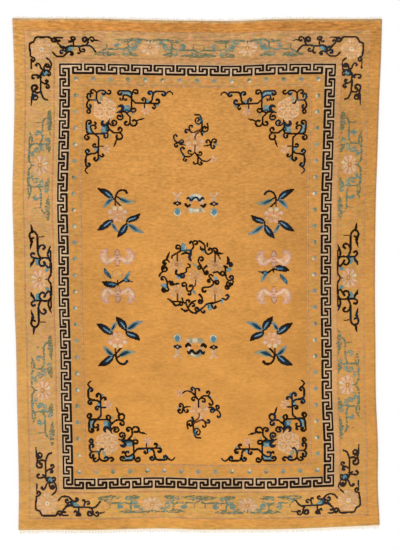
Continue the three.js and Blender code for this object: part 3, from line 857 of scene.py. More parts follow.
PEONY = [
    ("honey", 1, 0, 0, 15, 0), ("blush", 6, 4, 9.8, (2.2, 4.4), 90), ("cream", 6, 4.5, 11.6, 0.9, 90, 3.6),
    ("rose", 6, 5, 9, (0.8, 1.8), 90), ("shell", 6, 6.4, 10, (1.0, 2.2), 120), ("tan", 6, 3.4, 7.6, 0.6, 120),
    ("sage", 3, 10.6, 11.2, 1.2, 60), ("honey", 1, 0, 0, 6.4, 0), ("cream", 1, 0, 0, 4.6, 0),
    ("rose", 1, 0, 0, 2.8, 0), ("haze", 1, 0, 0, 1.4, 0),
]
SMALL_FLOWER = [
    ("rose", 1, 0, 0, 8.4, 0), ("blush", 6, 2.8, 4.2, (1.2, 2.0), 12), ("mauve", 6, 1.6, 3.4, 0.9, 42),
    ("haze", 1, 0, 0, 2.2, 0), ("clay", 1, 0, 0, 1.0, 0),
]
SPANDREL_FLOWERS = [(PEONY, 22.5, 23.8), (SMALL_FLOWER, 63.2, 24.5), (SMALL_FLOWER, 24.5, 64.5)]
# Each spandrel's way across and along, its share of the drawn height, and how thick its lines are:
# the lower two are flatter and bolder.
SPANDRELS = [(1, 1, 0.975, 1.0), (-1, 1, 0.975, 1.0), (1, -1, 0.935, 1.1), (-1, -1, 0.935, 1.1)]
for number, (side, end, squat, thick) in enumerate(SPANDRELS, 1):
    corner = (-side * SPANDREL_ACROSS, SPANDREL_LEVEL + end * SPANDREL_ALONG)
    for swapped in (False, True):
        draw(dyed(SPANDREL_SCROLL, {}, thick), *corner, side, end * squat, swapped)
    draw(dyed(SPANDREL_CORNER, {}, thick), *corner, side, end * squat)
    tie_in(f"spandrel_scroll_{number}")
    for rings, right, down in SPANDREL_FLOWERS:
        flower(rings, corner[0] + side * right, corner[1] - end * squat * down)
    tie_in(f"spandrel_peony_{number}")


# The two sprays stand in the middle of the field's ends: dark hooked twigs round a pale flower. The
# lower one is the upper one turned half round.
SPRAY = [
    ("sky", None, [(2.4, -27), (4.8, -25), (4.6, -20.5), (3, -20), (3, -24)]),
    ("sage", None, [(0, -18.4), (3.6, -18.6), (3.2, -16.8), (0.6, -16.8)]),
    ("teal", None, [(5.2, -11.6), (9.4, -10.6), (7.6, -8.8), (5.6, -9)]),
    ("sky", None, [(18.6, 0.4), (21, 1), (20.4, 2.6), (18.4, 2.4)]),
    ("sky", None, [(-13.6, 12.6), (-11.6, 12), (-11.4, 14), (-13, 14.4)]),
    ("rust", 1.7, [(-0.7, -3.4), (-0.8, -6.4), (0.8, -8.8), (3.2, -10.8), (5, -12.8)]),
    ("soot", (2.2, 1.9, 1.8, 1.8), [(5.2, -12.6), (5.6, -19), (4.9, -24.4), (2.6, -27.6), (-1.4, -27.6)]),
    ("deep_teal", (1.6, 2.8, 2.2), [(3.6, -25.6), (5.0, -22.4), (4.6, -19.4)]),
    ("soot", (1.4, 1.6, 1.6, 1.8), [(5.4, -20.4), (3.2, -18.6), (0.4, -19.2), (-1, -21.4), (-0.4, -24),
     (1.8, -24.8)]),
    ("soot", (1.6, 1.8, 1.6), [(1.8, -24.8), (2.6, -22.8), (1.4, -21.2)]),
    ("soot", 1.9, [(4.9, -12.8), (8, -11), (10.8, -11.8), (11.8, -14.6), (11, -18.8)]),
    ("soot", 2.0, [(6.4, -13), (6.8, -14.8)], 210, 1.8),
    ("soot", (2.0, 2.6), [(4.6, -11.4), (6.2, -7.8)]),
    ("rust", 1.8, [(4.6, -13), (1, -11.6), (-2, -10.1), (-4.4, -10)]),
    ("indigo", 2.0, [(-4.4, -10), (-6, -11.4), (-8, -12.6)], -230, 2.2),
    ("soot", 1.7, [(-6, -11.6), (-6.9, -14.6)], 210, 2.2),
    ("soot", 1.8, [(-17.4, 0.6), (-19.6, -0.6), (-21.6, -2.8), (-22, -5)], 190, 2.2),
    ("soot", 1.8, [(-17.2, 0.4), (-15.9, -1.4)], 300, 2.3),
    ("soot", (1.9, 1.4), [(-16.6, 0.8), (-14.4, 2.6), (-10.6, 2.8)]),
    ("soot", 1.9, [(-17.2, 0.4), (-19.6, 1.2)], -270, 2.2),
    ("soot", 1.9, [(15.4, 1.2), (15.8, -1.4)], 300, 2.7),
    ("soot", 2.0, [(14.8, 1.6), (15.2, 4)], -250, 2.2),
    ("soot", (1.9, 1.5), [(15.4, 1.4), (12.4, 2.7), (8.2, 3.3)]),
    ("soot", 1.8, [(14.6, 1.6), (13.8, -1.2)], -220, 2.2),
    ("soot", 1.7, [(-0.6, 3), (-0.6, 9.8)]),
    ("soot", 1.8, [(-0.6, 9.8), (-3.2, 12.2), (-5.4, 14.1), (-10.4, 14.2)]),
    ("soot", 1.8, [(-3, 12), (-5.6, 11.6)], 240, 2.3),
    ("soot", 1.9, [(-10.2, 14.2), (-12.8, 11.4), (-14.6, 8.4)], 210, 2.6),
    ("soot", 1.8, [(-10.6, 14.4), (-11.6, 16.4)], -240, 1.9),
    ("soot", (1.8, 2.0, 1.8, 1.2), [(-0.6, 9.8), (3, 14.5), (7, 18), (12, 18.6), (15.6, 16)]),
    ("soot", 1.8, [(1.4, 11.8), (3.4, 12.6)], -270, 2.2),
    ("soot", 1.8, [(2.7, 15), (2.6, 19.6)]),
    ("soot", 1.9, [(2.8, 20.6), (0.8, 21.4)], 130, 2.2),
    ("soot", 1.9, [(2.4, 20.8), (4, 22)], -230, 1.9),
]
SPRAY_FLOWER = [
    ("blush", 8, 4.5, 8.6, 1.0, 10, 2.6), ("rose", 8, 2.0, 6.6, (0.8, 1.8), 32),
    ("shell", 4, 5.2, 8.4, (1.4, 2.4), 10),
    ("straw", 8, 1.6, 5.4, 0.6, 10), ("cream", 1, 0, 0, 3.0, 0), ("honey", 1, 0, 0, 1.6, 0),
]
SPRAY_BLOSSOM = [
    ("rose", 1, 0, 0, 7.0, 0), ("blush", 5, 1.8, 3.4, (1.0, 1.8), 20), ("mauve", 3, 1.4, 2.8, 1.0, 50),
    ("plum", 1, 0, 0, 1.2, 0),
]
BLOSSOM_RIGHT, BLOSSOM_DOWN = 18, 16.4
# Each spray by how thick its lines are, its flower's place, and whether it is turned half round.
SPRAYS = [("spray_top", 0.9, 0.1, 132.5, 1), ("spray_bottom", 0.97, 1.6, -134.8, -1)]
for name, thick, u, v, way in SPRAYS:
    flower(SPRAY_FLOWER, u - way, v)
    flower(SPRAY_BLOSSOM, u + way * BLOSSOM_RIGHT, v - way * BLOSSOM_DOWN)
    draw(dyed(SPRAY, {}, thick), u, v, way, way)
    tie_in(name)


# A ribbon emblem lies between each spray and the medallion: a pale arch over a dark wave, an orange
# oval, and at both sides a knotted tassel with a diamond. The lower one is turned half round.
RIBBON = [
    ("frost", None, [(-6.6, -5), (-5.6, -7.6), (-2.6, -9), (2.6, -9), (5.6, -7.8), (6.8, -5), (2, -3),
     (-3, -2.4)]),
    ("mist", None, [(-6, -4.6), (-4.6, -6.8), (-2, -6.6), (-3.6, -3)]),
    ("pearl", None, [(-1.4, -8.6), (3, -8.4), (5.6, -6.4), (4, -5)]),
    ("haze", None, [(-6.4, -1.6), (-5, -2.4), (-4.2, 0), (-4.6, 3), (-6.2, 2)]),
    ("shell", None, [(4.2, -2.2), (6.8, -3.4), (8, -1), (6.6, 2.2), (4.8, 1.6)]),
    ("haze", None, [(-9, 7), (-6, 4), (-2, 5), (2, 4.6), (6, 4), (9.4, 6.4), (9.6, 8.4), (6, 9.8), (0, 10.2),
     (-6, 9.8)]),
    ("frost", None, [(-7, 8.4), (-6.2, 5.6), (-3.4, 5.6), (-2.4, 8), (-3.6, 9.8), (-6, 9.6)]),
    ("pearl", None, [(-2.2, 7.4), (0, 5.6), (2.8, 6.2), (2.8, 9), (-1.2, 9.6)]),
    ("sage", None, [(3, 6.2), (5, 5.2), (6.4, 6.8), (5.8, 9), (3.4, 8.8)]),
    ("shell", (1.8, 0.8), [(6.8, 7.4), (9.6, 8.4)]),
    ("amber", None, [(-2.8, 1), (-1.8, -1.3), (1.8, -1.3), (2.8, 1), (1.6, 3), (-1.6, 3)]),
    ("wave", (1.8, 2.4, 2.4, 2.4, 2.4, 2.4, 1.8), [(-8.6, -4), (-7.1, -5.2), (-4.4, -2.4), (-1.6, -5),
     (1.2, -5.1), (4, -2.4), (6.5, -5.2), (8.2, -4)]),
    ("soot", (2.8, 2.8, 2.2), [(-10, 1.6), (-8, 3.6), (-5.8, 2.2)]),
    ("soot", (2.2, 2.8, 2.8), [(5.3, 2.2), (7.5, 3.6), (9.5, 1.8)]),
]
TASSEL = [
    ("shell", (2.0, 1.6, 2.0), [(-3.4, -9.4), (-0.6, -6.4), (1.4, -3.2)]),
    ("lilac", (1.0, 0.8), [(-3, -8.8), (-1, -6.4)]),
    ("shell", (2.4, 1.6, 2.0), [(3.2, -9.8), (0.8, -6.8), (-1.4, -3.4)]),
    ("haze", (1.8, 2.6), [(0, -5.6), (0, -1)]),
    ("soot", (1.8, 3.2, 1.8), [(-3.4, 0.8), (-2.2, 0.8), (-1.2, 0.8)]),
    ("soot", (1.8, 3.2, 1.8), [(1.2, 0.8), (2.2, 0.8), (3.4, 0.8)]),
    ("soot", None, [(-2.4, 0.8), (0, -1.8), (2.4, 0.8), (0, 3.4)]),
    ("haze", None, [(-1, 0.8), (0, -0.2), (1, 0.8), (0, 1.9)]),
    ("sage", None, [(-4.5, 9.2), (-2.5, 6.4), (0, 4.8), (2.5, 6.4), (4.5, 9.2), (2.6, 12.4), (0, 14),
     (-2.6, 12.4)]),
    ("pearl", None, [(-4, 10), (-2.2, 7.4), (2.2, 7.4), (4, 10), (2.4, 12.4), (0, 13.6), (-2.4, 12.4)]),
    ("steel", None, [(-3.1, 9.3), (-1.6, 7.3), (0, 6), (1.6, 7.3), (3.1, 9.3), (1.5, 11.4), (0, 12.5),
     (-1.5, 11.4)]),
    ("teal", 1.4, [(-1.6, 9.6), (0.6, 11)]),
]
TASSEL_AWAY = 18.2
# Each emblem by its wave's and its arch's yarn, how thick its lines are, its place and its way.
RIBBONS = [("ribbon_upper", "navy", "frost", 0.95, 1.6, 72.1, 1),
           ("ribbon_lower", "soot", "sage", 1.15, 0.0, -72.9, -1)]
for name, wave, pale, thick, u, v, way in RIBBONS:
    draw(dyed(RIBBON, {"wave": wave, "frost": pale}, thick), u, v, way, way)
    for side in (1, -1):
        draw(TASSEL, u + side * TASSEL_AWAY, v, way, way)
    tie_in(name)


# The medallion in the middle: a wreath of dark twigs with blue leaves, five small flowers inside.
MEDALLION = [
    ("teal", None, [(-15.4, -26.4), (-15.2, -30), (-13.6, -33.8), (-10.4, -31), (-10, -27)]),
    ("sky", (1.6, 2.2, 1.2), [(-12.4, -27.6), (-12.6, -30), (-13.2, -32)]),
    ("frost", 1.2, [(-10.8, -28), (-11, -30.2)]),
    ("teal", None, [(5.4, -27.4), (8.8, -27.4), (9, -24.8), (6.4, -25)]),
    ("teal", None, [(30.4, -9), (34.4, -9.2), (35, -6.6), (32, -5.4), (30.4, -6)]),
    ("sky", 2.0, [(32, -7.6), (33.4, -7.4)]),
    ("sky", None, [(24.4, 21), (26.8, 21), (26.6, 25), (25, 27), (24.2, 24.6)]),
    ("teal", None, [(11.4, 27.6), (16.4, 27.4), (16.2, 31), (13, 33.6), (11, 30.6)]),
    ("sky", (1.6, 2.2), [(13.4, 31.4), (14.6, 29)]), ("deep_teal", 1.4, [(12, 28.4), (12.2, 30.4)]),
    ("teal", None, [(-36.4, 9.4), (-33, 7.6), (-29.4, 8), (-29.4, 12), (-33.4, 11.2)]),
    ("sky", 2.0, [(-33.6, 9), (-31, 9.4)]),
    ("sky", None, [(-20.4, -0.6), (-17, -1.4), (-16, 1.4), (-18.4, 2.8)]),
    ("sage", None, [(-3.4, -14), (-1, -12.6), (1.6, -11), (2, -8.6), (-1, -10), (-3.6, -12)]),
    ("teal", None, [(-4.6, 13.4), (-2, 13.4), (-0.8, 15.6), (-1.2, 17.6), (-3.6, 15.8)]),
    ("sky", None, [(17.6, -0.6), (20.4, 0), (20.6, 3.6), (18, 3)]),
    ("soot", 1.8, [(-5, -26.6), (-2.8, -29.8), (-3.1, -33.4)], 300, 2.7),
    ("soot", 1.8, [(-3, -32.4), (-3.6, -34.2)], -190, 1.8),
    ("soot", (1.4, 1.8, 2.0, 2.0), [(-24.3, -18.4), (-24, -20.4), (-19, -23.6), (-15.6, -25.8)]),
    ("deep_teal", 1.9, [(-15.8, -25.8), (-10, -26.2), (-5, -26.8)]),
    ("soot", 1.9, [(-16, -25.8), (-15.7, -28.4)], -310, 2.8),
    ("rust", 1.6, [(-18.8, -23), (-18.9, -15.8)]),
    ("soot", (1.6, 2.6, 2.2), [(-14.6, -22.4), (-10.4, -23.8), (-6, -22.8)]),
    ("indigo", (2.2, 2.8, 3.0, 2.0), [(-5.2, -26.4), (-5.6, -22.4), (-7, -19.4), (-5.4, -16.6)]),
    ("soot", (2.2, 1.8, 1.8), [(3, -36), (6.6, -34), (8.8, -30.8), (8.9, -26.4)]),
    ("soot", (1.6, 2.8, 2.0), [(4.2, -30.2), (5.4, -27.8), (8.8, -27.8)]),
    ("soot", 1.8, [(9, -26.4), (9.8, -24.2), (12.2, -22.9), (14.6, -24)], -250, 3.0),
    ("soot", (2.0, 1.6), [(11.2, -33.6), (11.3, -30.6)]),
    ("soot", 2.0, [(15.6, -27.4), (18.4, -29), (20.8, -27.8), (21, -25)]),
    ("soot", (2.2, 3.0, 2.6, 0.8), [(18, -26.4), (19.4, -24.2), (23, -23.8), (27.4, -23.6)]),
    ("soot", (1.8, 1.8, 1.2), [(18.6, -24), (21.8, -22.2), (23.8, -18.4)]),
    ("rust", 1.6, [(18.8, -22.4), (18.9, -15.4)]),
    ("soot", (0.9, 2.8, 2.6), [(30.9, -21), (32.2, -17.4), (32, -13.4)]),
    ("soot", 2.0, [(31, -13.4), (33.4, -14.2)], 260, 2.2),
    ("soot", (2.0, 2.6), [(31, -9.8), (28, -10.9)]),
    ("soot", 1.8, [(29.2, -10), (29.4, -3), (30.2, 0.6), (32, 3), (34.4, 3.2)], -290, 2.8),
    ("soot", 1.9, [(29.2, -2.6), (26.4, -1.6), (23.8, -2.8), (21.4, -5.2), (17.4, -4.6)]),
    ("soot", 1.8, [(28.4, -2), (27.6, -4.6)], -200, 1.9),
    ("soot", 1.8, [(35.6, 1.6), (36.7, 4.4), (36, 7.6)]),
    ("soot", 1.9, [(32, 3.6), (30.8, 5.4)], -330, 2.8),
    ("soot", 2.0, [(32.9, 8.4), (32.8, 10)], 330, 2.2),
    ("soot", 1.9, [(26.2, 21.4), (29.4, 22.6), (31.7, 20.8)], -190, 2.1),
    ("soot", 1.8, [(24.4, 23.2), (20.6, 24.8), (15.4, 26.6)]),
    ("rust", 1.6, [(18.6, 18), (18.6, 25)]),
    ("soot", 1.9, [(18.6, 25.4), (11, 26.8), (6.6, 30.4), (3.4, 33)]),
    ("soot", 2.0, [(15, 28), (16, 30.2)], -200, 2.1),
    ("soot", 1.9, [(3.8, 32.8), (5.4, 35)], -180, 1.9),
    ("soot", 2.0, [(4, 32.4), (2.4, 33.8)], 330, 2.5),
    ("soot", (2.6, 2.0, 2.0), [(3.2, 17.4), (5.4, 20.4), (6, 23.6)], 330, 2.4),
    ("soot", (1.6, 2.4, 1.8), [(-0.8, 23.8), (-4.4, 25.4), (-8.4, 30.4)]),
    ("soot", 1.8, [(-7, 28.2), (-5.2, 26.8)], 250, 2.2),
    ("soot", (1.8, 1.8, 2.2), [(-14.4, 21.2), (-13.2, 25), (-10.4, 27.4), (-8.2, 32.2), (-4.6, 35.4),
     (-0.6, 36.2)]),
    ("soot", (1.6, 2.6, 1.8), [(-15.2, 32), (-11.6, 34.2), (-8, 33)]),
    ("soot", 1.8, [(-10.8, 26.4), (-10, 24.2)], 220, 2.0),
    ("rust", 1.7, [(-18.8, 17.6), (-19, 24.4)]),
    ("soot", 1.9, [(-19.4, 25), (-16, 25.2)], 300, 2.1),
    ("soot", (1.4, 2.0, 2.4, 2.0), [(-28.6, 22.4), (-25, 24.8), (-21.6, 28.6), (-17.8, 28.4)]),
    ("soot", 1.7, [(-25.4, 24.8), (-20, 25.4)]),
    ("soot", (1.2, 2.6, 2.0), [(-26.8, -24.2), (-28.6, -19.6), (-30, -16.4)]),
    ("soot", (1.6, 2.0, 2.4), [(-27, -14.6), (-29.2, -16.6), (-31.8, -15.6)], -210, 2.2),
    ("soot", 2.0, [(-30.8, -11.4), (-32.6, -10.6)], -420, 3.4),
    ("soot", (1.7, 1.7, 2.2), [(-31.4, -5.2), (-35, -3.6), (-36.9, -0.2)]),
    ("soot", 1.9, [(-28.8, 7.4), (-30, 3.6), (-31.4, 1.4)], -250, 2.4),
    ("soot", 1.7, [(-29.4, 5.4), (-26.2, 4.8)]),
    ("soot", 2.2, [(-26.8, 5.6), (-25.4, 5.4)], 300, 1.9),
    ("soot", (2.2, 2.0), [(-23.2, 8.2), (-20.6, 7.6), (-17.6, 7)]),
    ("soot", 1.9, [(-29, 7), (-29, 10), (-28, 12.6)], 130, 1.9),
    ("soot", 2.2, [(-33.4, 11.6), (-34, 13)], -300, 2.1),
    ("soot", (2.6, 1.9), [(-19.8, -6), (-20.6, -3.4), (-18, -1.8), (-15.4, -2)]),
    ("indigo", 2.2, [(-17.4, -0.6), (-16.2, -2)], 330, 2.6),
    ("soot", 1.7, [(-15.6, -2), (-12, -3.8), (-9.8, -5.2), (-9.6, -8.8), (-6.8, -9.6), (-6.2, -11.6),
     (-8.2, -13)]),
    ("soot", 1.9, [(-9.6, 12), (-9.8, 8.4)], -300, 2.7),
    ("soot", 1.8, [(-9.7, 10.6), (-9.2, 13.6), (-6.4, 14.2), (-4.2, 12.6)], -220, 2.8),
    ("rust", 1.6, [(-4.2, 10), (-1.8, 9.2), (-0.8, 7), (-0.5, 3.4)]),
    ("soot", 1.9, [(-6.2, 14.4), (-5.6, 16)], 200, 1.7),
    ("soot", 1.8, [(9.4, -4), (7, -6.4), (4.6, -11.4), (2.4, -14.8), (2.4, -17.6)], 300, 2.8),
    ("soot", 1.9, [(7.4, -6.2), (8, -4.2)], -290, 2.3),
    ("soot", (1.6, 2.4), [(7.2, -8.2), (10.2, -11)]),
    ("soot", 1.8, [(4.4, -11.4), (3, -11)], -300, 1.9),
    ("soot", 1.8, [(16.6, -1.2), (14.4, -2.6), (12.8, -0.8), (14.4, 1.4), (17, 4.6), (16.6, 7.6), (12.6, 10),
     (8.6, 10.2)], -250, 3.0),
    ("soot", 1.9, [(14.4, 1.8), (12.6, 2.2)], -260, 1.7),
    ("soot", 2.0, [(17.4, 5.6), (18.6, 4.2)], 330, 2.4),
]
MEDALLION_FLOWER = [
    ("blush", 10, 4.0, 6.8, (0.9, 2.2), 0), ("mauve", 10, 2.2, 5.8, (0.7, 0.9), 18),
    ("honey", 10, 2.0, 5.0, 1.0, 0), ("clay", 1, 0, 0, 4.0, 0), ("tan", 1, 0, 0, 1.8, 0),
]
MEDALLION_FLOWERS = [(-19.6, -11.8), (18.8, -12.2), (-19.4, 15), (18.8, 14.6), (-0.6, 0.6)]
MEDALLION_U, MEDALLION_V = 1.8, -1.9
draw(MEDALLION, MEDALLION_U, MEDALLION_V, 1, 1)
tie_in("medallion_wreath")
for right, down in MEDALLION_FLOWERS:
    flower(MEDALLION_FLOWER, MEDALLION_U + right, MEDALLION_V - down)
tie_in("medallion_flowers")


# Four leaf sprays stand round the medallion: a pale flower with dark and light leaves, hung from a
# hooked stem. The right ones mirror the left ones and the lower ones mirror the upper ones.
LEAF_SWELL = np.array([0.35, 0.85, 1.0, 0.8, 0.2])
LEAF_RIMS = 2.0
MIDRIB = (0.8, 1.1, 1.1, 0.5)


def leaf(axis, width, rim, flesh, rib):
    """The rows of one pointed leaf, from its base to its tip: the rim, the flesh, which stops short
    of both ends, and the midrib."""
    line = smooth(axis, 12)
    inner = line[len(line) // 8:-len(line) // 5]
    rows = [(rim, tuple(width * LEAF_SWELL), axis), (flesh, tuple((width - LEAF_RIMS) * LEAF_SWELL), inner)]
    return rows + [(rib, MIDRIB, inner[:5 * len(inner) // 6])]


DARK_LEAF = ("soot", "navy", "sky")
PALE_LEAF = ("mist", "glass", "ink")
DULL_LEAF = ("sage", "glass", "ink")
LEAF_SPRAY = [
    *leaf([(-5.4, -14.8), (-9, -18), (-13, -21), (-19.8, -24.2)], 6.8, *DARK_LEAF),
    *leaf([(8.8, 8.4), (12.5, 6.4), (17.4, 4.6), (21.8, 0.8)], 6.2, *DARK_LEAF),
    *leaf([(-5.8, 7.6), (-10, 10.2), (-14.5, 13.6), (-20.4, 17.2)], 6.8, *DARK_LEAF),
    *leaf([(8, 11.4), (6, 15.5), (3.2, 19), (-0.8, 23.8)], 7.0, *DARK_LEAF),
    *leaf([(-4.6, -13.9), (-8, -12.2), (-11, -9.2), (-14.4, -5)], 4.8, *PALE_LEAF),
    *leaf([(0.8, -15.2), (5, -12.9), (9.6, -11.4), (17.2, -11.2)], 5.8, *DULL_LEAF),
    *leaf([(-6.3, 10.4), (-4.6, 13), (-2.8, 16), (-0.4, 19.2)], 4.0, *PALE_LEAF),
    *leaf([(9.4, 11.2), (14, 14), (18.4, 17), (25.2, 19.6)], 5.4, *PALE_LEAF),
    ("soot", (1.8, 1.8, 2.2, 2.6), [(-2.3, -11.5), (-2.2, -16.5), (-0.2, -20.6), (2.6, -22.6), (6.4, -22.7),
     (8.8, -20.4)]),
    ("soot", 1.6, [(-2, -16.6), (0.6, -15.4), (3, -13.6)]),
    ("soot", 1.4, [(-4.8, -14.2), (-2.2, -13)]),
    ("rust", 1.5, [(-2.4, -12), (-2.7, -6.6)]),
    ("soot", (1.5, 2.0), [(-1.8, -12), (2.8, -7)]),
    ("rust", 1.4, [(-5.8, 6.8), (-5.4, 9.4)]),
    ("soot", 1.4, [(8.4, 7.6), (8.8, 11)]),
]
PALE_FLOWER = [
    ("rose", 12.4, [(0, 0.4), (0.4, 0.4)]), ("honey", (0.8, 2.2), [(0, 1), (-6, 4)]),
    ("honey", (0.8, 2.2), [(0, 1), (6, 4)]),
    ("blush", 3.4, [(-7, 2.8), (-6.6, 3)]), ("blush", 3.4, [(6.9, 3), (7.1, 2.6)]),
    ("pink", 3.4, [(-2.6, 5.6), (-2.4, 6)]), ("blush", 3.6, [(3, 6), (3.2, 6.2)]),
    ("pink", 4.0, [(-7.6, -2), (-7.2, -2.8)]), ("pearl", 4.0, [(-3.2, -5.8), (-2.6, -6)]),
    ("cream", 4.0, [(2.8, -6), (3.4, -5.8)]), ("pink", 4.0, [(7.2, -2.6), (7.6, -2)]),
    ("shell", 1.8, [(-7.4, -2.6), (-7, -3)]), ("pearl", 1.8, [(7, -2.8), (7.4, -2.4)]),
    ("lilac", 0.8, [(-1, -1), (-4.6, -3.8)]), ("lilac", 0.8, [(1, -1), (4.8, -3.8)]),
    ("tan", 0.8, [(0, -1.6), (0, -5)]),
    ("lilac", 0.8, [(-1, 2), (-4, 4.6)]), ("tan", 0.8, [(1, 2), (1.6, 5)]),
    ("cream", 1.4, [(-1.4, 0.6), (1, 0.2)]),
]
PALE_FLOWER_OUT, PALE_FLOWER_DOWN = 0.3, 1.2
LOWER_LEAF_SPRAY = dyed(LEAF_SPRAY, {"glass": "deep_teal"}, 1.12)
LEAF_SPRAYS = [("upper_left", -75.7, 61.1, 1, 1), ("upper_right", 78.9, 60.0, -1, 1),
               ("lower_left", -78.0, -66.6, 1, -1), ("lower_right", 76.8, -66.5, -1, -1)]
for name, u, v, side, end in LEAF_SPRAYS:
    draw(LEAF_SPRAY if end > 0 else LOWER_LEAF_SPRAY, u, v, side, end)
    draw(PALE_FLOWER, u - side * PALE_FLOWER_OUT, v - end * PALE_FLOWER_DOWN, side, end)
    tie_in(f"leaf_spray_{name}")


# Two pairs of bats face each other between the leaf sprays, knotted in faded lilac, with a leafy
# twig between the two bats of each pair.
BAT = [
    ("plum", (1.8, 5.4, 6.8, 6.6, 4.4, 1.6), [(0, -6.8), (0, -3.8), (0, 0), (0, 3), (0, 6.4), (0, 9.2)]),
    ("lilac", (0.8, 4.0, 5.4, 5.2, 2.6), [(0, -5.4), (0, -2.6), (0, 0.4), (0, 3.4), (0, 7.4)]),
    ("pink", (1.2, 2.6, 1.2), [(0.4, 1.6), (0.2, 3.4), (0, 5.4)]),
    ("haze", (1.4, 2.2), [(-1, -3.6), (0.6, -2.2)]),
    ("plum", 1.0, [(-2.6, -1.6), (0, -0.8), (2.6, -1.6)]),
    ("plum", 1.0, [(-2.6, 1.2), (0, 2), (2.6, 1.2)]),
    ("plum", 0.9, [(-2.2, 4), (0, 4.8), (2.2, 4)]),
    ("clay", 1.2, [(-1.6, 9.8), (1.6, 9.8)]),
]
WING_LINE = [(2.8, 1.8), (6.2, 3.6), (10, 4.6), (12.6, 2.2), (13.5, -1.4), (12.6, -4.6), (9.8, -6.4)]
BAT_WING = [
    ("rose", (3.0, 5.6, 7.8, 9.2, 8.4, 6.2, 3.0), WING_LINE),
    ("lilac", (1.6, 4.6, 6.8, 8.2, 7.4, 5.2, 2.0), WING_LINE),
    ("pink", (1.4, 3.2, 5.2, 6.0, 4.8, 2.4), WING_LINE[:6]),
    ("cream", (1.4, 2.4, 1.6), [(4.4, 2.8), (6.6, 4), (8.6, 4.6)]),
    ("cream", (1.2, 2.6, 1.6), [(10.4, 5.4), (13.2, 3.8), (14.8, 0.8)]),
    ("blush", (1.4, 2.4, 1.4), [(11.2, 1.8), (12.8, -1), (12.8, -3.8)]),
    ("haze", (1.0, 1.8), [(9, 3), (10.6, 4.4)]),
    ("rose", (0.8, 1.8, 0.8), [(8, 2.4), (10, 2.4), (11.2, 0.4)]),
    ("mauve", (0.8, 1.4), [(15.8, -2.4), (13.6, -4.4)]),
]
TWIG = [
    ("tan", None, [(-5, -4.2), (0, -6.8), (5, -4.2), (5, 1.2), (0, 3.8), (-5, 1.2)]),
    ("gold", None, [(-4.4, -3.8), (0, -6.2), (4.4, -3.8), (4.4, 0.8), (0, 3.2), (-4.4, 0.8)]),
    ("honey", (1.4, 3.0, 1.4), [(-2.6, -1.8), (0, -1.8), (2.6, -1.8)]),
    *leaf([(0.2, 8.2), (-5, 8.8), (-9.6, 8), (-15, 6)], 7.4, "soot", "navy", "steel"),
    ("glass", (0.8, 2.2, 1.6), [(-3.4, 7.6), (-6, 8), (-8, 8)]),
    ("ink", (1.8, 3.0, 1.2), [(-3.4, 10), (-7, 10.2), (-11, 8.8)]),
    *leaf([(-6.4, 2.2), (-9, -1.2), (-11.4, -4), (-13, -7.8)], 4.6, "deep_teal", "steel", "soot"),
    *leaf([(6.4, 3.6), (9, 1.4), (11, -1.6), (12.8, -4.8)], 4.2, "mist", "teal", "deep_teal"),
    ("deep_teal", (2.4, 4.6, 3.0), [(6, 4.2), (8.8, 4.4), (11.4, 4.8)]),
    ("steel", (1.2, 2.2), [(6.2, 3.6), (9.2, 4.2)]),
    ("indigo", (2.2, 0.8), [(11, 4.8), (15.6, 6)]),
    ("soot", 1.5, [(0.3, 4.8), (0.8, 8), (0.4, 11), (-0.6, 13.6)]),
    ("soot", (1.8, 2.4), [(1, 7.8), (3, 6.4), (6.2, 4.4)]),
]
BATS = [("left_upper", -77.2, 17.9, 1), ("left_lower", -76.7, -21.4, -1),
        ("right_upper", 79.3, 16.6, 1), ("right_lower", 79.5, -22.1, -1)]
for name, u, v, end in BATS:
    draw(BAT, u, v, 1, end)
    for side in (1, -1):
        draw(BAT_WING, u, v, side, end)
    tie_in(f"bat_{name}")

TWIG_THICK = 0.92
TWIGS = [("twig_left", -77.2, -1.7, 1), ("twig_right", 79.4, -2.7, -1)]
for name, u, v, way in TWIGS:
    draw(dyed(TWIG, {}, TWIG_THICK), u, v, way, way)
    tie_in(name)


# The fringes are the cotton warps' own ends. At both ends of the pile they pass through a narrow
# woven web that holds the last row of knots, and beyond it they hang in small bunches of twisted
# ends, cut shorter and left more ragged at the top.
FRINGE_GAP = 0.0003
FRINGE_INSET = 0.004
WEB_THICKNESS = 0.0024
WEB_OUTER_HEIGHT = 0.00204
BUNCHES = 120
BUNCH_ROOT_SHARE = 0.5
BUNCH_SPREAD = 1.7
BUNCH_LEAN = 0.004
ENDS_TO_BUNCH = 5
END_RADIUS = 0.00095
END_TIP_RADIUS = 0.0006
END_WAVE = 0.0007
END_SIDES = 6
END_RINGS = 7
END_LIFT = 1.05
END_RAGGEDNESS = 0.06
END_OVERLAP = 0.002
WEB_STATIONS = 961
WEB_RIB = 0.00025
PILE_END_STEPS = 26
FRINGE_SEED = 200
COTTON = (0.98, 0.86, 0.67)
SOILED_PATCHES = 70.0
SOILED_DEPTH = 0.3
COTTON_ROUGHNESS = 0.9
TWIST_TURNS = 314.0
TWIST_BUMP = {"Strength": 0.5, "Distance": 0.0003}
# Each fringe by the CAD node it stands for, its way, its web's depth, and how long and how uneven
# its bunches are.
FRINGES = [("fringe_bottom", -1, 0.014, 0.014, 0.3), ("fringe_top", 1, 0.006, 0.011, 0.5)]


def scatter(seed):
    """A number from -1 to 1 that looks random and is the same for the same seed."""
    wave = np.sin(seed * 12.9898 + 4.1) * 43758.5453
    return 2 * (wave - np.floor(wave)) - 1


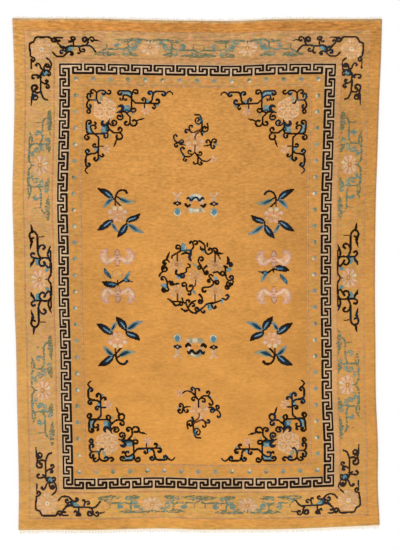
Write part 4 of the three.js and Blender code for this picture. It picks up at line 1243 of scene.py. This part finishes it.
def tubes(rings):
    """Faces of closed tubes, for points given as tube, ring, side: walls, and both ends capped."""
    count, length, sides = rings
    number = np.arange(count * length * sides).reshape(rings)
    around = np.roll(number, -1, axis=2)
    walls = np.stack([number[:, :-1], around[:, :-1], around[:, 1:], number[:, 1:]], -1).reshape(-1, 4)
    first, last = number[:, 0], number[:, -1]
    caps = [first[:, [3, 2, 1, 0]], first[:, [5, 4, 3, 0]], last[:, [0, 1, 2, 3]], last[:, [0, 3, 4, 5]]]
    return np.concatenate([walls, *caps])


cotton = bpy.data.materials.new("cotton_warp")
cotton.use_nodes = True
tree = cotton.node_tree
shader = tree.nodes["Principled BSDF"]
place = lay(tree, "ShaderNodeTexCoord", {})["Object"]
soiled = lay(tree, "ShaderNodeTexNoise", {"Vector": place, "Scale": SOILED_PATCHES, "Detail": 3.0})["Fac"]
tone = math(tree, "MULTIPLY_ADD", math(tree, "SUBTRACT", soiled, 0.5), SOILED_DEPTH, 1.0)
waves = {"Vector": place, "Scale": TWIST_TURNS}
twist = lay(tree, "ShaderNodeTexWave", waves, bands_direction="DIAGONAL")["Fac"]
normal = lay(tree, "ShaderNodeBump", {"Height": twist, **TWIST_BUMP})["Normal"]
tree.links.new(vector(tree, "SCALE", COTTON, tone), shader.inputs["Base Color"])
tree.links.new(normal, shader.inputs["Normal"])
shader.inputs["Roughness"].default_value = COTTON_ROUGHNESS
pile_end = edge_places(CARPET_WIDTH, PILE_END_STEPS)
for name, outward, web, hang, uneven in FRINGES:
    corner_x, corner_y = as_it_lies(pile_end, np.full_like(pile_end, outward * CARPET_LENGTH / 2))
    start = corner_x[0] + FRINGE_INSET
    pitch = (corner_x[-1] - FRINGE_INSET - start) / BUNCHES
    root = pitch * BUNCH_ROOT_SHARE

    station = np.linspace(start, start + pitch * BUNCHES, WEB_STATIONS)
    inner = np.interp(station, corner_x, corner_y) + outward * FRINGE_GAP
    rib = WEB_RIB * (np.arange(WEB_STATIONS) % 2)
    out, up = np.array([(0, 0), (web, 0), (web, WEB_OUTER_HEIGHT), (0, WEB_THICKNESS)]).T
    web_points = np.empty((WEB_STATIONS, 4, 3))
    web_points[..., 0] = station[:, None]
    web_points[..., 1] = inner[:, None] + outward * out
    web_points[..., 2] = up - rib[:, None] * (up > 0)
    number = np.arange(WEB_STATIONS * 4).reshape(WEB_STATIONS, 4)
    around = np.roll(number, -1, axis=1)
    web_quads = np.stack([number[:-1], number[1:], around[1:], around[:-1]], -1).reshape(-1, 4)
    web_quads = np.concatenate([web_quads, number[:1], number[-1:, ::-1]])

    bunch, end = np.meshgrid(np.arange(BUNCHES), np.arange(ENDS_TO_BUNCH), indexing="ij")
    bunch, end = bunch.reshape(-1, 1), end.reshape(-1, 1)
    seed = bunch + FRINGE_SEED * outward
    ragged = END_RAGGEDNESS * (1 + scatter(seed * 7 + end))
    reach = hang * (1 + uneven * scatter(seed)) * (1 - ragged)
    along_end = np.linspace(0, 1, END_RINGS)
    spread = ((end + 0.5) / ENDS_TO_BUNCH - 0.5) * root
    wave = END_WAVE * np.sin(2 * np.pi * (along_end + 0.5 * scatter(seed * 3 + end))) * along_end
    root_x = start + pitch * (bunch + 0.5)
    middle_x = root_x + spread * (1 + (BUNCH_SPREAD - 1) * along_end)
    middle_x = middle_x + BUNCH_LEAN * scatter(seed + 0.5) * along_end**2 + wave
    root_y = np.interp(root_x, corner_x, corner_y) + outward * (FRINGE_GAP + web - END_OVERLAP)
    middle_y = root_y + outward * (reach + END_OVERLAP) * along_end
    radius = END_RADIUS + (END_TIP_RADIUS - END_RADIUS) * along_end
    angle = 2 * np.pi * np.arange(END_SIDES) / END_SIDES
    end_points = np.stack(np.broadcast_arrays(
        middle_x[..., None] + radius[:, None] * np.cos(angle),
        middle_y[..., None],
        radius[:, None] * (END_LIFT + np.sin(angle)),
    ), -1)
    end_quads = tubes(end_points.shape[:3])
    if outward > 0:
        web_quads, end_quads = web_quads[:, ::-1], end_quads[:, ::-1]
    points = np.concatenate([web_points.reshape(-1, 3), end_points.reshape(-1, 3)])
    quads = np.concatenate([web_quads, end_quads + web_points.shape[0] * 4])
    fringe = quad_piece(name + "_cotton", points, quads, points[:, :2])
    fringe.data.materials.append(cotton)
    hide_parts(name)


# The stage: a pale floor, soft light from all round and a high window, and a camera straight above
# the carpet. Its view is set by the size of one pixel of the photograph on the floor, where the
# photograph's middle lies, and how many pixels high it is.
PIXEL = 0.00728
PHOTO_MIDDLE_X = 0.0211
PHOTO_HEIGHT = 550
CAMERA_HEIGHT = 12.0
CAMERA_SIGHT = 100
SENSOR = 36.0
FLOOR_REACH = 40.0
FLOOR_DROP = 0.0002
FLOOR_ROUGHNESS = 0.9
SKY_LIGHT = 0.72
WINDOW_LIGHT = 1.12
WINDOW_SPREAD = 0.35
WINDOW_TILT = (0.5, -0.45, 0.0)

floor_mesh = bpy.data.meshes.new("floor")
floor_sides = [(-1, -1), (1, -1), (1, 1), (-1, 1)]
floor_corners = [(x * FLOOR_REACH, y * FLOOR_REACH, -FLOOR_DROP) for x, y in floor_sides]
floor_mesh.from_pydata(floor_corners, [], [(0, 1, 2, 3)])
floor = bpy.data.objects.new("floor", floor_mesh)
bpy.context.collection.objects.link(floor)
paint = bpy.data.materials.new("pale_floor")
paint.use_nodes = True
shader = paint.node_tree.nodes["Principled BSDF"]
shader.inputs["Base Color"].default_value = (1, 1, 1, 1)
shader.inputs["Roughness"].default_value = FLOOR_ROUGHNESS
floor.data.materials.append(paint)

world = bpy.data.worlds.new("soft_light")
bpy.context.scene.world = world
world.use_nodes = True
sky = world.node_tree.nodes["Background"]
sky.inputs["Color"].default_value = (1, 1, 1, 1)
sky.inputs["Strength"].default_value = SKY_LIGHT

key = bpy.data.lights.new("high_window", "SUN")
key.energy = WINDOW_LIGHT
key.angle = WINDOW_SPREAD
window = bpy.data.objects.new("high_window", key)
window.rotation_euler = WINDOW_TILT
bpy.context.collection.objects.link(window)

bpy.context.scene.view_settings.view_transform = "Standard"

lens = bpy.data.cameras.new("above")
lens.sensor_width = SENSOR
lens.lens = SENSOR * CAMERA_HEIGHT / (PHOTO_HEIGHT * PIXEL)
lens.clip_end = CAMERA_SIGHT
camera = bpy.data.objects.new("above", lens)
camera.location = (PHOTO_MIDDLE_X, 0, CAMERA_HEIGHT)
bpy.context.collection.objects.link(camera)
bpy.context.scene.camera = camera
